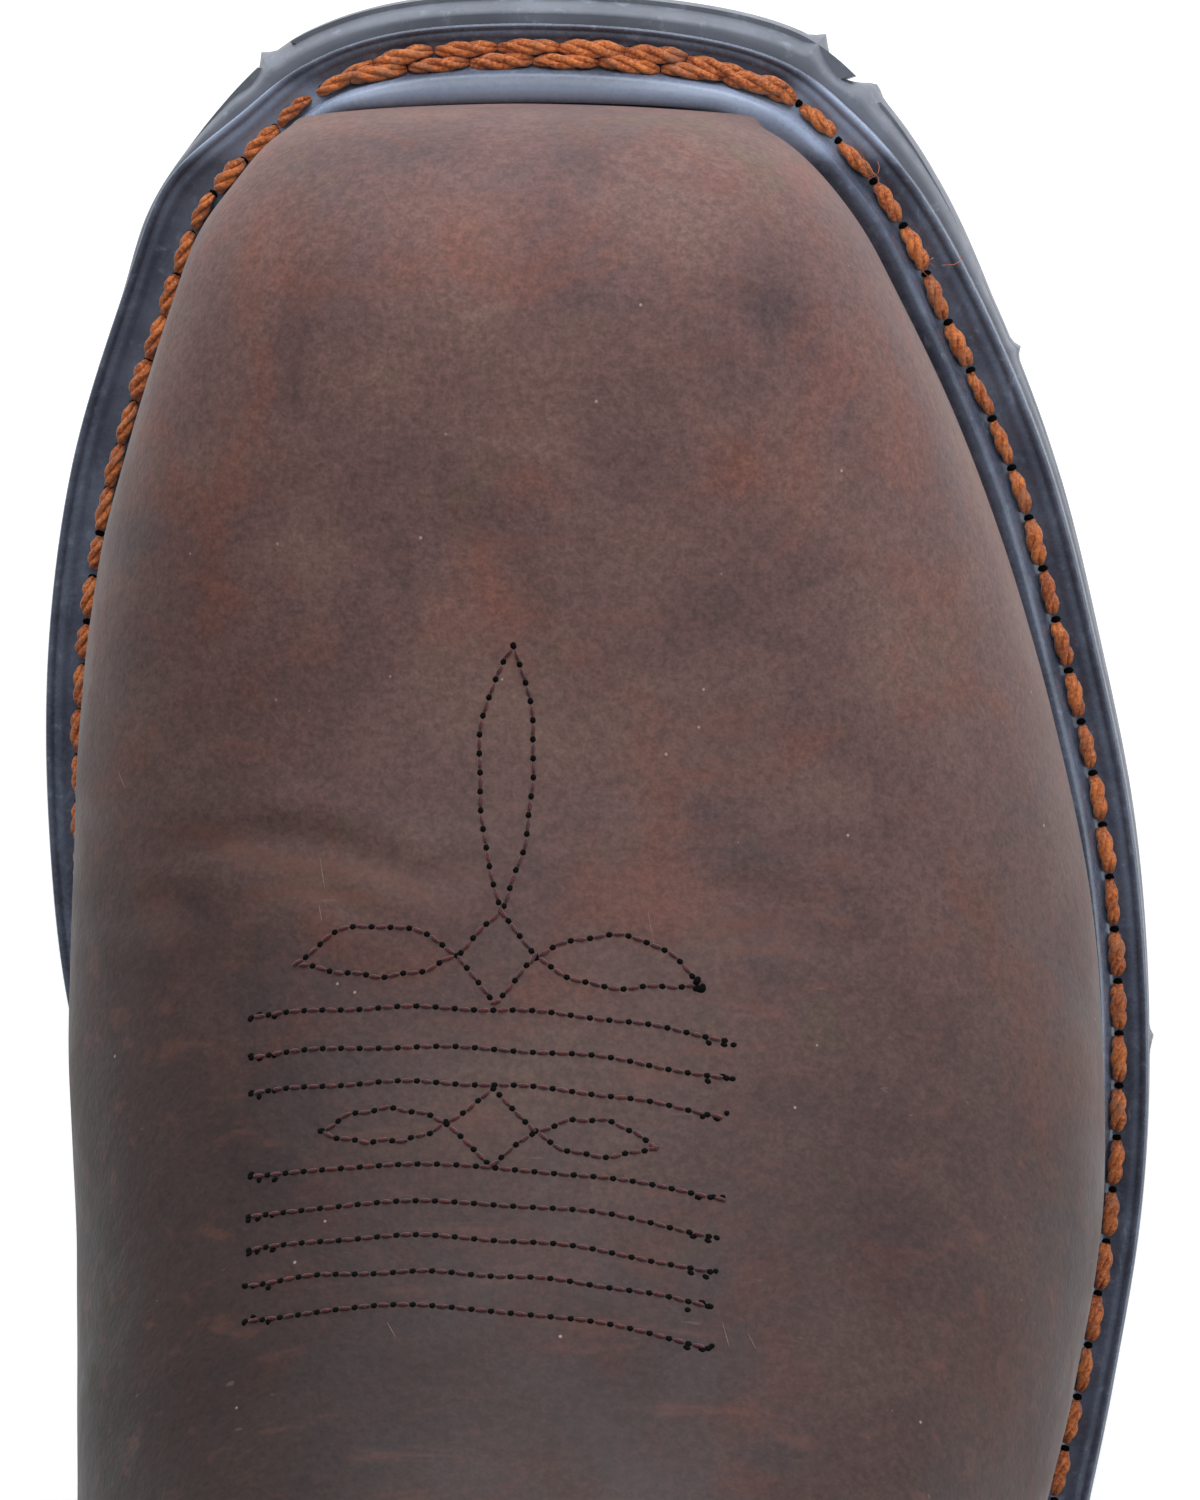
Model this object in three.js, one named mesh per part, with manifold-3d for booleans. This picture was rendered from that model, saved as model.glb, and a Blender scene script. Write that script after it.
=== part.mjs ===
// A right western work boot: broad square toe, pull-on shaft, storm welt and lug sole.
// Millimetres. +Y runs to the toe, +X to the outer side of the foot, +Z up.
// The origin is on the floor, under the middle of the heel.
import * as THREE from 'three';
import { mergeVertices } from 'three/addons/utils/BufferGeometryUtils.js';
import Module from 'manifold-3d';

const wasm = await Module();
wasm.setup();

// Places along the sole, as shares of its length from the back of the heel
const breastPlace = 0.247;
const treadPlace = 0.49;
const ballPlace = 0.6;
const springPlace = 0.745;

// Sole
const soleLength = 312;
const ballWidth = 117;
const heelBehindOrigin = 39;
const heelHeight = 28;
const treadHeight = 4.5;
const springCurve = 1.7;
const soleThickness = 7.5;
const toeSpring = 12;
const toeFlare = 3;
const heelTaper = 2.5;
const breastLean = 5;
const slotWidth = 3.4;
const slotLean = 14;
const slotCount = 6;
const toeLug = 16;
const channelWidth = 4;
const lugLength = 19;
const lugTaper = 1.2;
const lugClimb = 0.62;
const plateSet = 0.3;
const heelSlotDepth = 3.5;
const heelSlots = [-0.52, 0.4];

// Welt and insole
const weltThickness = 4;
const weltWidth = 9.2;
const ribWidth = 2.2;
const ribHeight = 2.6;
const beadWidth = 1.3;
const grooveDepth = 0.9;
const insoleThickness = 4.5;

// Upper
const instepHeight = 130;
const ankleHeight = 75;
const shaftHeight = 278;
const shaftWidth = 102;
const upperWall = 2.4;
const overlayWall = 1.6;
const pipingWidth = 4;
const pipingWall = 1.3;
const frontDip = 24;
const backDip = 16;
const dipCurve = 2.2;
const collarPlace = 0.22;
const collarSpan = 0.25;
const collarSteps = 12;
const bindingDepth = 9;
const bindingWall = 1.1;

// Pull straps
const strapWidth = 27;
const strapWall = 2;
const strapDrop = 52;
const loopRise = 24;
const loopWidth = 17;
const loopSteps = 16;

// Fit
const fitGap = 0.3;

// Plan outline of the welt: a row for each place along the sole, from the back of the heel to the
// toe. along is a share of soleLength; inner and outer are shares of ballWidth, measured from the
// heel's centre line; welt is a share of weltWidth and flare a share of toeFlare.
const outlineRows = [
  { along: 0.011, inner: 0.128, outer: 0.128, welt: 0.35, flare: 0.1 },
  { along: 0.045, inner: 0.256, outer: 0.256, welt: 0.35, flare: 0.1 },
  { along: 0.103, inner: 0.329, outer: 0.329, welt: 0.35, flare: 0.1 },
  { along: 0.183, inner: 0.339, outer: 0.342, welt: 0.37, flare: 0.1 },
  { along: 0.279, inner: 0.325, outer: 0.346, welt: 0.50, flare: 0.1 },
  { along: 0.375, inner: 0.320, outer: 0.365, welt: 0.62, flare: 0.1 },
  { along: 0.455, inner: 0.350, outer: 0.406, welt: 0.69, flare: 0.1 },
  { along: 0.519, inner: 0.416, outer: 0.442, welt: 0.72, flare: 0.1 },
  { along: 0.583, inner: 0.488, outer: 0.466, welt: 0.74, flare: 0.1 },
  { along: 0.644, inner: 0.540, outer: 0.470, welt: 0.78, flare: 0.1 },
  { along: 0.712, inner: 0.560, outer: 0.455, welt: 0.88, flare: 0.12 },
  { along: 0.776, inner: 0.558, outer: 0.421, welt: 0.96, flare: 0.15 },
  { along: 0.840, inner: 0.528, outer: 0.377, welt: 1.0, flare: 0.2 },
  { along: 0.897, inner: 0.478, outer: 0.314, welt: 0.99, flare: 0.32 },
  { along: 0.936, inner: 0.434, outer: 0.257, welt: 0.97, flare: 0.6 },
  { along: 0.962, inner: 0.362, outer: 0.198, welt: 0.96, flare: 0.9 },
  { along: 0.979, inner: 0.300, outer: 0.138, welt: 0.96, flare: 1.0 },
  { along: 0.990, inner: 0.205, outer: 0.015, welt: 0.96, flare: 0.95 },
];

// Sections of the upper, from the toe over the vamp. Each lies in a plane that holds the X
// direction, through a front point on the ridge and a back point on the feather line. front and
// back are shares of the feather line's length, rise of instepHeight and up of the shaft above it.
// inner and outer, the bulges past the feather line, and ridge are shares of ballWidth. belly is
// the height of the widest place, square the squareness of the top and round that of the foot.
// A row with no back of its own stands upright.
const footRows = [
  { front: 0.9993, rise: 0.105, inner: 0.131, outer: 0.144, ridge: -0.098, belly: 0.50, square: 3.2 },
  { front: 0.9966, rise: 0.163, inner: 0.079, outer: 0.078, ridge: -0.095, belly: 0.46, square: 3.1 },
  { front: 0.9899, rise: 0.220, inner: 0.051, outer: 0.038, ridge: -0.090, belly: 0.42, square: 3.0 },
  { front: 0.9782, rise: 0.268, inner: 0.033, outer: 0.030, ridge: -0.085, belly: 0.38, square: 2.95 },
  { front: 0.9597, rise: 0.309, inner: 0.012, outer: 0.023, ridge: -0.080, belly: 0.35, square: 2.9 },
  { front: 0.9328, rise: 0.340, inner: 0.007, outer: 0.018, ridge: -0.076, belly: 0.33, square: 2.85 },
  { front: 0.8925, rise: 0.362, inner: 0.005, outer: 0.020, ridge: -0.073, belly: 0.32, square: 2.75 },
  { front: 0.8422, rise: 0.382, inner: 0.008, outer: 0.022, ridge: -0.072, belly: 0.32, square: 2.65 },
  { front: 0.7851, rise: 0.410, inner: 0.009, outer: 0.024, ridge: -0.071, belly: 0.32, square: 2.55 },
  { front: 0.7280, rise: 0.455, inner: 0.009, outer: 0.022, ridge: -0.070, belly: 0.33, square: 2.45 },
  { front: 0.6743, rise: 0.516, inner: 0.014, outer: 0.018, ridge: -0.067, belly: 0.35, square: 2.38 },
  { front: 0.621, back: 0.618, rise: 0.596, inner: 0.034, outer: 0.014, ridge: -0.06, belly: 0.38, square: 2.3 },
  { front: 0.574, back: 0.564, rise: 0.688, inner: 0.073, outer: 0.006, ridge: -0.05, belly: 0.42, square: 2.22 },
  { front: 0.533, back: 0.493, rise: 0.785, inner: 0.125, outer: 0.003, ridge: -0.04, belly: 0.45, square: 2.15 },
  { front: 0.500, back: 0.399, rise: 0.882, inner: 0.151, outer: 0.024, ridge: -0.03, belly: 0.46, square: 2.1 },
  { front: 0.473, back: 0.288, rise: 0.977, inner: 0.115, outer: 0.048, ridge: -0.02, belly: 0.46, square: 2.08 },
  { front: 0.456, back: 0.171, rise: 1, up: 0.064,
    inner: 0.068, outer: 0.044, ridge: -0.01, belly: 0.46, square: 2.05, round: 0.95 },
  { front: 0.448, back: 0.073, rise: 1, up: 0.134,
    inner: 0.064, outer: 0.055, ridge: 0, belly: 0.47, square: 2.05, round: 0.8 },
  { front: 0.444, back: 0.023, rise: 1, up: 0.195,
    inner: 0.160, outer: 0.160, ridge: 0, belly: 0.48, square: 2.05, round: 0.6 },
];

// Sections of the shaft, with their back points on the back seam: heel is a share of ankleHeight
// and climb of the shaft above that, and shaft is a share of shaftWidth on each side.
const shaftRows = [
  { front: 0.4419, up: 0.244, back: -0.0010, heel: 0.08, shaft: 0.388, belly: 0.49, square: 2.05 },
  { front: 0.4409, up: 0.337, back: -0.0042, heel: 0.56, shaft: 0.397, belly: 0.5, square: 2.05 },
  { front: 0.4412, up: 0.395, back: 0.0077, heel: 1, shaft: 0.410, belly: 0.5, square: 2.05 },
  { front: 0.4426, up: 0.465, back: 0.0141, heel: 1, climb: 0.133, shaft: 0.423, belly: 0.5, square: 2.05 },
  { front: 0.4476, up: 0.651, back: 0.0060, heel: 1, climb: 0.443, shaft: 0.452, belly: 0.5, square: 2.1 },
  { front: 0.4516, up: 0.779, back: -0.0040, heel: 1, climb: 0.640, shaft: 0.470, belly: 0.5, square: 2.1 },
  { front: 0.4560, up: 0.913, back: -0.0120, heel: 1, climb: 0.837, shaft: 0.488, belly: 0.5, square: 2.1 },
  { front: 0.4600, up: 1.12, back: -0.0200, heel: 1, climb: 1.10, shaft: 0.5, belly: 0.5, square: 2.1 },
];

// Side view edges of the overlays: along is a share of soleLength from the back of the heel, up a
// share of the height of the back seam's ankle or the instep above the heel seat.
const vampEdge = [
  { along: 0.290, up: -0.40 }, { along: 0.300, up: 0.0 }, { along: 0.325, up: 0.09 },
  { along: 0.357, up: 0.22 }, { along: 0.386, up: 0.40 }, { along: 0.405, up: 0.57 },
  { along: 0.414, up: 0.71 }, { along: 0.419, up: 0.83 }, { along: 0.424, up: 0.94 },
  { along: 0.436, up: 1.03 }, { along: 0.480, up: 1.06 },
];
const counterEdge = [
  { along: 0.284, up: -0.80 }, { along: 0.284, up: -0.1 }, { along: 0.275, up: 0.10 },
  { along: 0.250, up: 0.36 }, { along: 0.205, up: 0.62 }, { along: 0.145, up: 0.84 },
  { along: 0.082, up: 1.01 }, { along: 0.030, up: 1.10 }, { along: -0.060, up: 1.13 },
];
const seamLine = [
  { along: 0.296, up: 0.045 }, { along: 0.276, up: 0.17 }, { along: 0.246, up: 0.34 },
  { along: 0.224, up: 0.56 }, { along: 0.215, up: 0.80 },
];

// Places worked out from the sizes
const heelBack = -heelBehindOrigin;
const soleStep = (share) => heelBack + share * soleLength;
const breastY = soleStep(breastPlace);
const treadStartY = soleStep(treadPlace);
const shankEndY = soleStep(ballPlace);
const springStartY = soleStep(springPlace);
const toeY = soleStep(1);
const topOfSole = soleThickness + fitGap;
const seatRise = topOfSole + weltThickness;
const heelSeat = heelHeight + seatRise;
const ballSeat = treadHeight + seatRise;
const throatZ = ballSeat + instepHeight;
const collarZ = heelSeat + shaftHeight;
const stationCount = 24;
const curvePoints = 900;
const sideMargin = 200;

// Height of the underside of the sole plate: level at the heel and the ball, curved between, and
// rising to the toe
function soleLift(y) {
  if (y > springStartY) {
    return treadHeight + toeSpring * ((y - springStartY) / (toeY - springStartY)) ** springCurve;
  }
  const shank = THREE.MathUtils.smoothstep(y, breastY, shankEndY);
  return THREE.MathUtils.lerp(heelHeight, treadHeight, shank);
}

// Straight-line reading of one column of a table at a place along the sole
function readRow(rows, column, along) {
  const last = rows.length - 1;
  if (along <= rows[0].along) return rows[0][column];
  if (along >= rows[last].along) return rows[last][column];
  const next = rows.findIndex((row) => row.along > along);
  const low = rows[next - 1];
  const high = rows[next];
  return THREE.MathUtils.mapLinear(along, low.along, high.along, low[column], high[column]);
}

// Outlines: rings of points in plan, matched in pairs across the sole
function weltCurve() {
  const innerSide = outlineRows.map((row) => [-row.inner * ballWidth, soleStep(row.along)]);
  const outerSide = outlineRows.map((row) => [row.outer * ballWidth, soleStep(row.along)]);
  const points = [[0, heelBack], ...innerSide, ...outerSide.reverse()];
  const corners = points.map(([x, y]) => new THREE.Vector3(x, y, 0));
  const curve = new THREE.CatmullRomCurve3(corners, true, 'centripetal');
  return curve.getSpacedPoints(curvePoints).slice(0, curvePoints);
}

function crossing(side, y) {
  for (let i = 1; i < side.length; i += 1) {
    const [a, b] = [side[i - 1], side[i]];
    if (y <= b.y) return THREE.MathUtils.mapLinear(y, a.y, b.y, a.x, b.x);
  }
  return side[side.length - 1].x;
}

function weltOutline() {
  const curve = weltCurve();
  const tip = curve.reduce((best, point, i) => (point.y > curve[best].y ? i : best), 0);
  const back = curve.reduce((best, point, i) => (point.y < curve[best].y ? i : best), 0);
  const fromBack = [...curve.slice(back), ...curve.slice(0, back)];
  const inner = fromBack.slice(0, (tip - back + curve.length) % curve.length);
  const outer = [...curve.slice(tip), ...curve.slice(0, back || undefined)].reverse();
  const low = curve[back];
  const high = curve[tip];
  const places = [];
  for (let k = 1; k < stationCount; k += 1) {
    places.push(THREE.MathUtils.lerp(low.y, high.y, (1 - Math.cos(Math.PI * k / stationCount)) / 2));
  }
  return [
    new THREE.Vector2(low.x, low.y),
    ...places.map((y) => new THREE.Vector2(crossing(inner, y), y)),
    new THREE.Vector2(high.x, high.y),
    ...places.reverse().map((y) => new THREE.Vector2(crossing(outer, y), y)),
  ];
}

const weltRing = weltOutline();

// The ring moved outwards in plan by a distance worked out at each point's place along the sole
function offsetRing(distance) {
  const count = weltRing.length;
  return weltRing.map((point, i) => {
    const along = (point.y - heelBack) / soleLength;
    const ahead = weltRing[(i + 1) % count];
    const behind = weltRing[(i + count - 1) % count];
    const outwards = new THREE.Vector2(behind.y - ahead.y, ahead.x - behind.x).normalize();
    return point.clone().addScaledVector(outwards, distance(along));
  });
}

const weltWidthAt = (along) => weltWidth * readRow(outlineRows, 'welt', along);
const flareAt = (along) => toeFlare * readRow(outlineRows, 'flare', along);
const overlayStand = fitGap + overlayWall;
const featherRing = offsetRing((along) => -weltWidthAt(along) - overlayStand - fitGap);
const featherBack = featherRing[0].y;
const featherFront = featherRing[stationCount].y;
const featherInner = featherRing.slice(0, stationCount + 1);
const featherOuter = [featherRing[0], ...featherRing.slice(stationCount).reverse()];

// Rings of a plate: each point gets the sole's lift at its own place, plus a height
const level = (ring, z) => ring.map((point) => new THREE.Vector3(point.x, point.y, z));
const lifted = (ring, height) => ring.map(({ x, y }) => new THREE.Vector3(x, y, soleLift(y) + height));

function geometryFrom(points, triangles) {
  const geometry = new THREE.BufferGeometry();
  const numbers = points.flatMap((point) => [point.x, point.y, point.z]);
  geometry.setAttribute('position', new THREE.Float32BufferAttribute(numbers, 3));
  geometry.setIndex(triangles.flat());
  return geometry;
}

// Triangles between neighbouring rings that all have the same number of points
function ringSides(ringCount, count, wrap) {
  const triangles = [];
  const bands = wrap ? ringCount : ringCount - 1;
  for (let r = 0; r < bands; r += 1) {
    for (let i = 0; i < count; i += 1) {
      const next = (i + 1) % count;
      const above = ((r + 1) % ringCount) * count;
      const [a, b, c, d] = [r * count + i, r * count + next, above + next, above + i];
      triangles.push([a, c, b], [a, d, c]);
    }
  }
  return triangles;
}

// A plate stacked from matched rings, bottom first, closed across by rungs between paired points
function plateGeometry(rings) {
  const count = rings[0].length;
  const half = count / 2;
  const triangles = ringSides(rings.length, count, false);
  const top = (rings.length - 1) * count;
  for (let k = 0; k < half; k += 1) {
    const [a, b] = [k, k + 1];
    const [c, d] = [(count - k) % count, count - k - 1];
    if (k > 0) {
      triangles.push([a, d, c]);
      triangles.push([top + a, top + c, top + d]);
    }
    if (k + 1 < half) {
      triangles.push([a, b, d]);
      triangles.push([top + a, top + d, top + b]);
    }
  }
  return geometryFrom(rings.flat(), triangles);
}

// Solids and booleans
function solidFrom(geometry) {
  const bare = geometry.clone();
  bare.deleteAttribute('normal');
  bare.deleteAttribute('uv');
  const merged = mergeVertices(bare);
  const index = merged.index.array;
  const kept = [];
  for (let i = 0; i < index.length; i += 3) {
    const [a, b, c] = [index[i], index[i + 1], index[i + 2]];
    if (a !== b && b !== c && c !== a) kept.push(a, b, c);
  }
  const mesh = new wasm.Mesh({
    numProp: 3,
    vertProperties: new Float32Array(merged.attributes.position.array),
    triVerts: new Uint32Array(kept),
  });
  return new wasm.Manifold(mesh);
}

function geometryOf(solid) {
  const mesh = solid.getMesh();
  const geometry = new THREE.BufferGeometry();
  geometry.setAttribute('position', new THREE.BufferAttribute(new Float32Array(mesh.vertProperties), 3));
  geometry.setIndex(new THREE.BufferAttribute(new Uint32Array(mesh.triVerts), 1));
  return geometry;
}

// A side view shape, given as [y, z] points, made solid from one X to another
function sideSolid(points, fromX = -sideMargin, toX = sideMargin) {
  const shape = new THREE.Shape(points.map(([y, z]) => new THREE.Vector2(y, z)));
  const geometry = new THREE.ExtrudeGeometry(shape, { depth: toX - fromX, bevelEnabled: false });
  const across = new THREE.Matrix4().makeBasis(
    new THREE.Vector3(0, 1, 0), new THREE.Vector3(0, 0, 1), new THREE.Vector3(1, 0, 0));
  geometry.applyMatrix4(across);
  geometry.translate(fromX, 0, 0);
  return solidFrom(geometry);
}

// Limits in X of one side of the boot
const oneSide = (side) => (side > 0 ? [0, sideMargin] : [-sideMargin, 0]);

function steps(from, to, count) {
  return Array.from({ length: count + 1 }, (_, i) => THREE.MathUtils.lerp(from, to, i / count));
}

// The outer form of the upper
const roundSteps = 6;
const lowerSteps = 3;
const feetBelowSeat = weltThickness + 2 * upperWall;
const backFlat = 1.5;

const footPlain = { sole: 1, up: 0, heel: 0, climb: 0, shaft: 0, round: 1 };
const shaftPlain = { sole: 0, rise: 1, climb: 0, inner: 0, outer: 0, ridge: 0, round: 0.5 };
const sectionRows = [
  ...footRows.map((row) => ({ ...footPlain, back: row.front, ...row })),
  ...shaftRows.map((row) => ({ ...shaftPlain, ...row })),
];

function sectionPoints(row) {
  const featherLength = featherFront - featherBack;
  const frontY = featherBack + row.front * featherLength;
  const backY = featherBack + row.back * featherLength;
  const springAtFront = frontY > springStartY ? soleLift(frontY) - treadHeight : 0;
  const frontZ = ballSeat + springAtFront + row.rise * instepHeight + row.up * (collarZ - throatZ);
  const backZ = row.sole
    ? soleLift(backY) + seatRise
    : heelSeat + row.heel * ankleHeight + row.climb * (shaftHeight - ankleHeight);
  const footIn = row.sole ? crossing(featherInner, backY) : 0;
  const footOut = row.sole ? crossing(featherOuter, backY) : 0;
  const seat = [Math.min(footIn, -backFlat), Math.max(footOut, backFlat)];
  const widest = [
    footIn - row.inner * ballWidth - row.shaft * shaftWidth,
    footOut + row.outer * ballWidth + row.shaft * shaftWidth,
  ];
  const ridge = row.ridge * ballWidth;
  const at = (x, height, drop = 0) => new THREE.Vector3(
    x,
    THREE.MathUtils.lerp(backY, frontY, height),
    THREE.MathUtils.lerp(backZ, frontZ, height) - drop,
  );

  const sidePoints = (side) => {
    const foot = seat[side];
    const drop = row.sole * feetBelowSeat;
    const points = [at(foot * (row.sole ? 1 : 0.5), 0, drop), at(foot, 0)];
    for (let i = 1; i <= lowerSteps; i += 1) {
      const share = 1 - Math.cos((Math.PI / 2) * (i / (lowerSteps + 1)));
      const swell = (1 - (1 - share) ** 2) ** row.round;
      points.push(at(THREE.MathUtils.lerp(foot, widest[side], swell), row.belly * share));
    }
    for (let i = 0; i < roundSteps; i += 1) {
      const angle = (Math.PI / 2) * (i / roundSteps);
      const inwards = Math.cos(angle) ** (2 / row.square);
      const upwards = Math.sin(angle) ** (2 / row.square);
      const x = THREE.MathUtils.lerp(ridge, widest[side], inwards);
      points.push(at(x, THREE.MathUtils.lerp(row.belly, 1, upwards)));
    }
    return points;
  };

  const middle = at((seat[0] + seat[1]) / 2, 0, row.sole * feetBelowSeat);
  return [middle, ...sidePoints(1), at(ridge, 1), ...sidePoints(0).reverse()];
}

function formGeometry() {
  const rings = sectionRows.map(sectionPoints);
  const count = rings[0].length;
  const triangles = ringSides(rings.length, count, false).map(([a, b, c]) => [a, c, b]);
  const points = rings.flat();
  [rings[0], rings[rings.length - 1]].forEach((ring, end) => {
    const centre = ring.reduce((sum, point) => sum.add(point), new THREE.Vector3()).divideScalar(count);
    const hub = points.length;
    const start = end * (rings.length - 1) * count;
    points.push(centre);
    for (let i = 0; i < count; i += 1) {
      const rim = [start + i, start + ((i + 1) % count)];
      triangles.push(end ? [hub, rim[0], rim[1]] : [hub, rim[1], rim[0]]);
    }
  });
  return geometryFrom(points, triangles);
}

const bareForm = formGeometry();
bareForm.computeVertexNormals();

// The form grown outwards, or inwards, by one distance all over
function form(distance) {
  const geometry = bareForm.clone();
  const { position, normal } = geometry.attributes;
  for (let i = 0; i < position.count; i += 1) {
    position.setXYZ(
      i,
      position.getX(i) + distance * normal.getX(i),
      position.getY(i) + distance * normal.getY(i),
      position.getZ(i) + distance * normal.getZ(i),
    );
  }
  return solidFrom(geometry);
}

// Regions in side view, as [y, z] points
const lowest = -20;
const farAhead = toeY + 60;
const farBehind = heelBack - 60;
const wellAbove = collarZ + 80;

// Everything below a surface that follows the sole
function belowSole(height) {
  const stations = weltRing.slice(0, stationCount + 1).map((point) => point.y);
  const top = [farBehind, ...stations, farAhead].map((y) => [y, soleLift(Math.min(y, toeY)) + height]);
  return sideSolid([[farBehind, lowest], [farAhead, lowest], ...top.reverse()]);
}

// Height of the collar's edge: high at the sides, dipping in front and behind
const collarMiddle = featherBack + collarPlace * (featherFront - featherBack);
const collarReach = collarSpan * (featherFront - featherBack);

function collarHeight(y) {
  const across = THREE.MathUtils.clamp((y - collarMiddle) / collarReach, -1, 1);
  const dip = across > 0 ? frontDip : backDip;
  return collarZ - dip * Math.abs(across) ** dipCurve;
}

function aboveCollar(height) {
  const across = steps(collarMiddle - collarReach, collarMiddle + collarReach, collarSteps);
  const edge = [farBehind, ...across, farAhead].map((y) => [y, collarHeight(y) + height]);
  return sideSolid([...edge, [farAhead, wellAbove], [farBehind, wellAbove]]);
}

// Edges of the overlays, drawn smooth through the rows of their tables
function edgeCurve(rows, baseZ, tallness) {
  const points = rows.map((row) => new THREE.Vector2(soleStep(row.along), baseZ + row.up * tallness));
  return new THREE.SplineCurve(points).getPoints(rows.length * 2).map((point) => [point.x, point.y]);
}

const vampLine = edgeCurve(vampEdge, heelSeat, throatZ - heelSeat);
const counterLine = edgeCurve(counterEdge, heelSeat, ankleHeight);
const pipingLine = edgeCurve(seamLine, heelSeat, shaftHeight);

function vampRegion(growth) {
  const edge = vampLine.map(([y, z]) => [y - growth, z + growth]);
  const topZ = edge[edge.length - 1][1];
  return sideSolid([...edge, [farAhead, topZ], [farAhead, edge[0][1]]].reverse());
}

function counterRegion(growth) {
  const edge = counterLine.map(([y, z]) => [y + growth, z + growth]);
  return sideSolid([...edge, [farBehind, edge[edge.length - 1][1]], [farBehind, edge[0][1]]]);
}

function pipingRegion(side) {
  const half = pipingWidth / 2;
  const front = pipingLine.map(([y, z]) => [y + half, z]);
  const rear = pipingLine.map(([y, z]) => [y - half, z]).reverse();
  return sideSolid([...front, ...rear], ...oneSide(side));
}

// A shell between two offsets of the form
const shell = (inner, outer) => form(outer).subtract(form(inner));
const overlay = shell(fitGap, overlayStand);
const bindingStand = fitGap + bindingWall;

// Outsole: a plate under the whole boot with a groove round its side, and lugs under the forefoot.
// up is a share of soleThickness and out a share of grooveDepth.
const soleEdge = [
  { up: 0, out: 0 }, { up: 0.4, out: 0 }, { up: 0.5, out: -1 }, { up: 0.6, out: 0 }, { up: 1, out: 0 },
];

const radians = THREE.MathUtils.degToRad;

// A V of two slots at each place, meeting on the centre line and running forwards to the sides
function slotCutter(places, bottom, top) {
  const slots = places.flatMap((y) => [radians(slotLean), Math.PI - radians(slotLean)].map((turn) => {
    const box = new THREE.BoxGeometry(sideMargin, slotWidth, top - bottom);
    box.translate(sideMargin / 2, 0, 0);
    box.rotateZ(turn);
    box.translate(0, y, (top + bottom) / 2);
    return solidFrom(box);
  }));
  return slots.reduce((all, slot) => all.add(slot));
}

function outsole() {
  const edgeRings = soleEdge.map(({ up, out }) => lifted(
    offsetRing((along) => plateSet * flareAt(along) + out * grooveDepth), up * soleThickness));
  const lugRing = (out, height) => lifted(offsetRing((along) => flareAt(along) + out), height);
  const lugRings = [
    lugRing(-lugTaper, -treadHeight), lugRing(0, 0), lugRing(0, lugClimb * soleThickness)];
  const inside = (depth) => solidFrom(plateGeometry([
    lugRing(-depth, -2 * treadHeight), lugRing(-depth, soleThickness / 2)]));
  const channel = inside(lugLength).subtract(inside(lugLength + channelWidth));
  const forefoot = sideSolid([
    [treadStartY, lowest], [farAhead, lowest], [farAhead, wellAbove], [treadStartY, wellAbove]]);
  const slotPlaces = steps(treadStartY + slotWidth * 2, toeY - toeLug, slotCount);
  const tread = solidFrom(plateGeometry(lugRings))
    .intersect(forefoot)
    .subtract(channel)
    .subtract(slotCutter(slotPlaces, lowest, wellAbove));
  return solidFrom(plateGeometry(edgeRings)).add(tread);
}

// Heel: a block with a leaning breast, two grooves round it and slots in its tread.
// up is a share of heelHeight, out a share of grooveDepth and taper a share of heelTaper.
const heelEdge = [
  { up: 0, out: 0, taper: -1 }, { up: 0.26, out: 0, taper: -0.74 }, { up: 0.3, out: -1, taper: -0.7 },
  { up: 0.34, out: 0, taper: -0.66 }, { up: 0.7, out: 0, taper: -0.3 }, { up: 0.74, out: -1, taper: -0.26 },
  { up: 0.78, out: 0, taper: -0.22 }, { up: 1, out: 0, taper: 0 },
];

function heel() {
  const block = heelEdge.map(({ up, out, taper }) => level(
    offsetRing((along) => plateSet * flareAt(along) + out * grooveDepth + taper * heelTaper),
    up * (heelHeight - fitGap)));
  const behindBreast = sideSolid([
    [farBehind, lowest], [breastY - breastLean, lowest], [breastY - breastLean, 0],
    [breastY, heelHeight], [farBehind, heelHeight],
  ]);
  return solidFrom(plateGeometry(block))
    .intersect(behindBreast)
    .subtract(slotCutter(heelSlots.map((share) => share * heelBehindOrigin), lowest, heelSlotDepth));
}

// Insole: fills the upper at its foot
function insole() {
  return form(-upperWall - 2 * fitGap)
    .intersect(belowSole(topOfSole + insoleThickness))
    .subtract(belowSole(topOfSole));
}

// Upper: one hollow shell from the toe to the collar, open at the collar and underneath
function upper() {
  return shell(-upperWall, 0).subtract(belowSole(topOfSole)).subtract(aboveCollar(0));
}

const vamp = () => overlay.intersect(vampRegion(0)).subtract(belowSole(topOfSole));
const counter = () => overlay.intersect(counterRegion(0)).subtract(belowSole(topOfSole));

// Storm welt: a bead at its edge, a channel for the stitches and a rib against the upper. across
// is a share of the welt's own width there, and each other column of the size it is named after:
// bead outwards, rib back from the upper, thick and rise upwards, groove downwards.
const weltEdge = [
  { across: 0, bead: 0, rib: 0, thick: 0, groove: 0, rise: 0 },
  { across: 0, bead: 0.08, rib: 0, thick: 0.9, groove: 0, rise: 0 },
  { across: 0, bead: 0.45, rib: 0, thick: 1, groove: 0, rise: 0 },
  { across: 0, bead: 1.25, rib: 0, thick: 1, groove: 1, rise: 0 },
  { across: 1, bead: 0, rib: 1.3, thick: 1, groove: 1, rise: 0 },
  { across: 1, bead: 0, rib: 0.55, thick: 1, groove: 0, rise: 1 },
  { across: 1, bead: 0, rib: 0, thick: 1, groove: 0, rise: 0.8 },
  { across: 1, bead: 0, rib: 0, thick: 0, groove: 0, rise: 0 },
];

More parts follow.
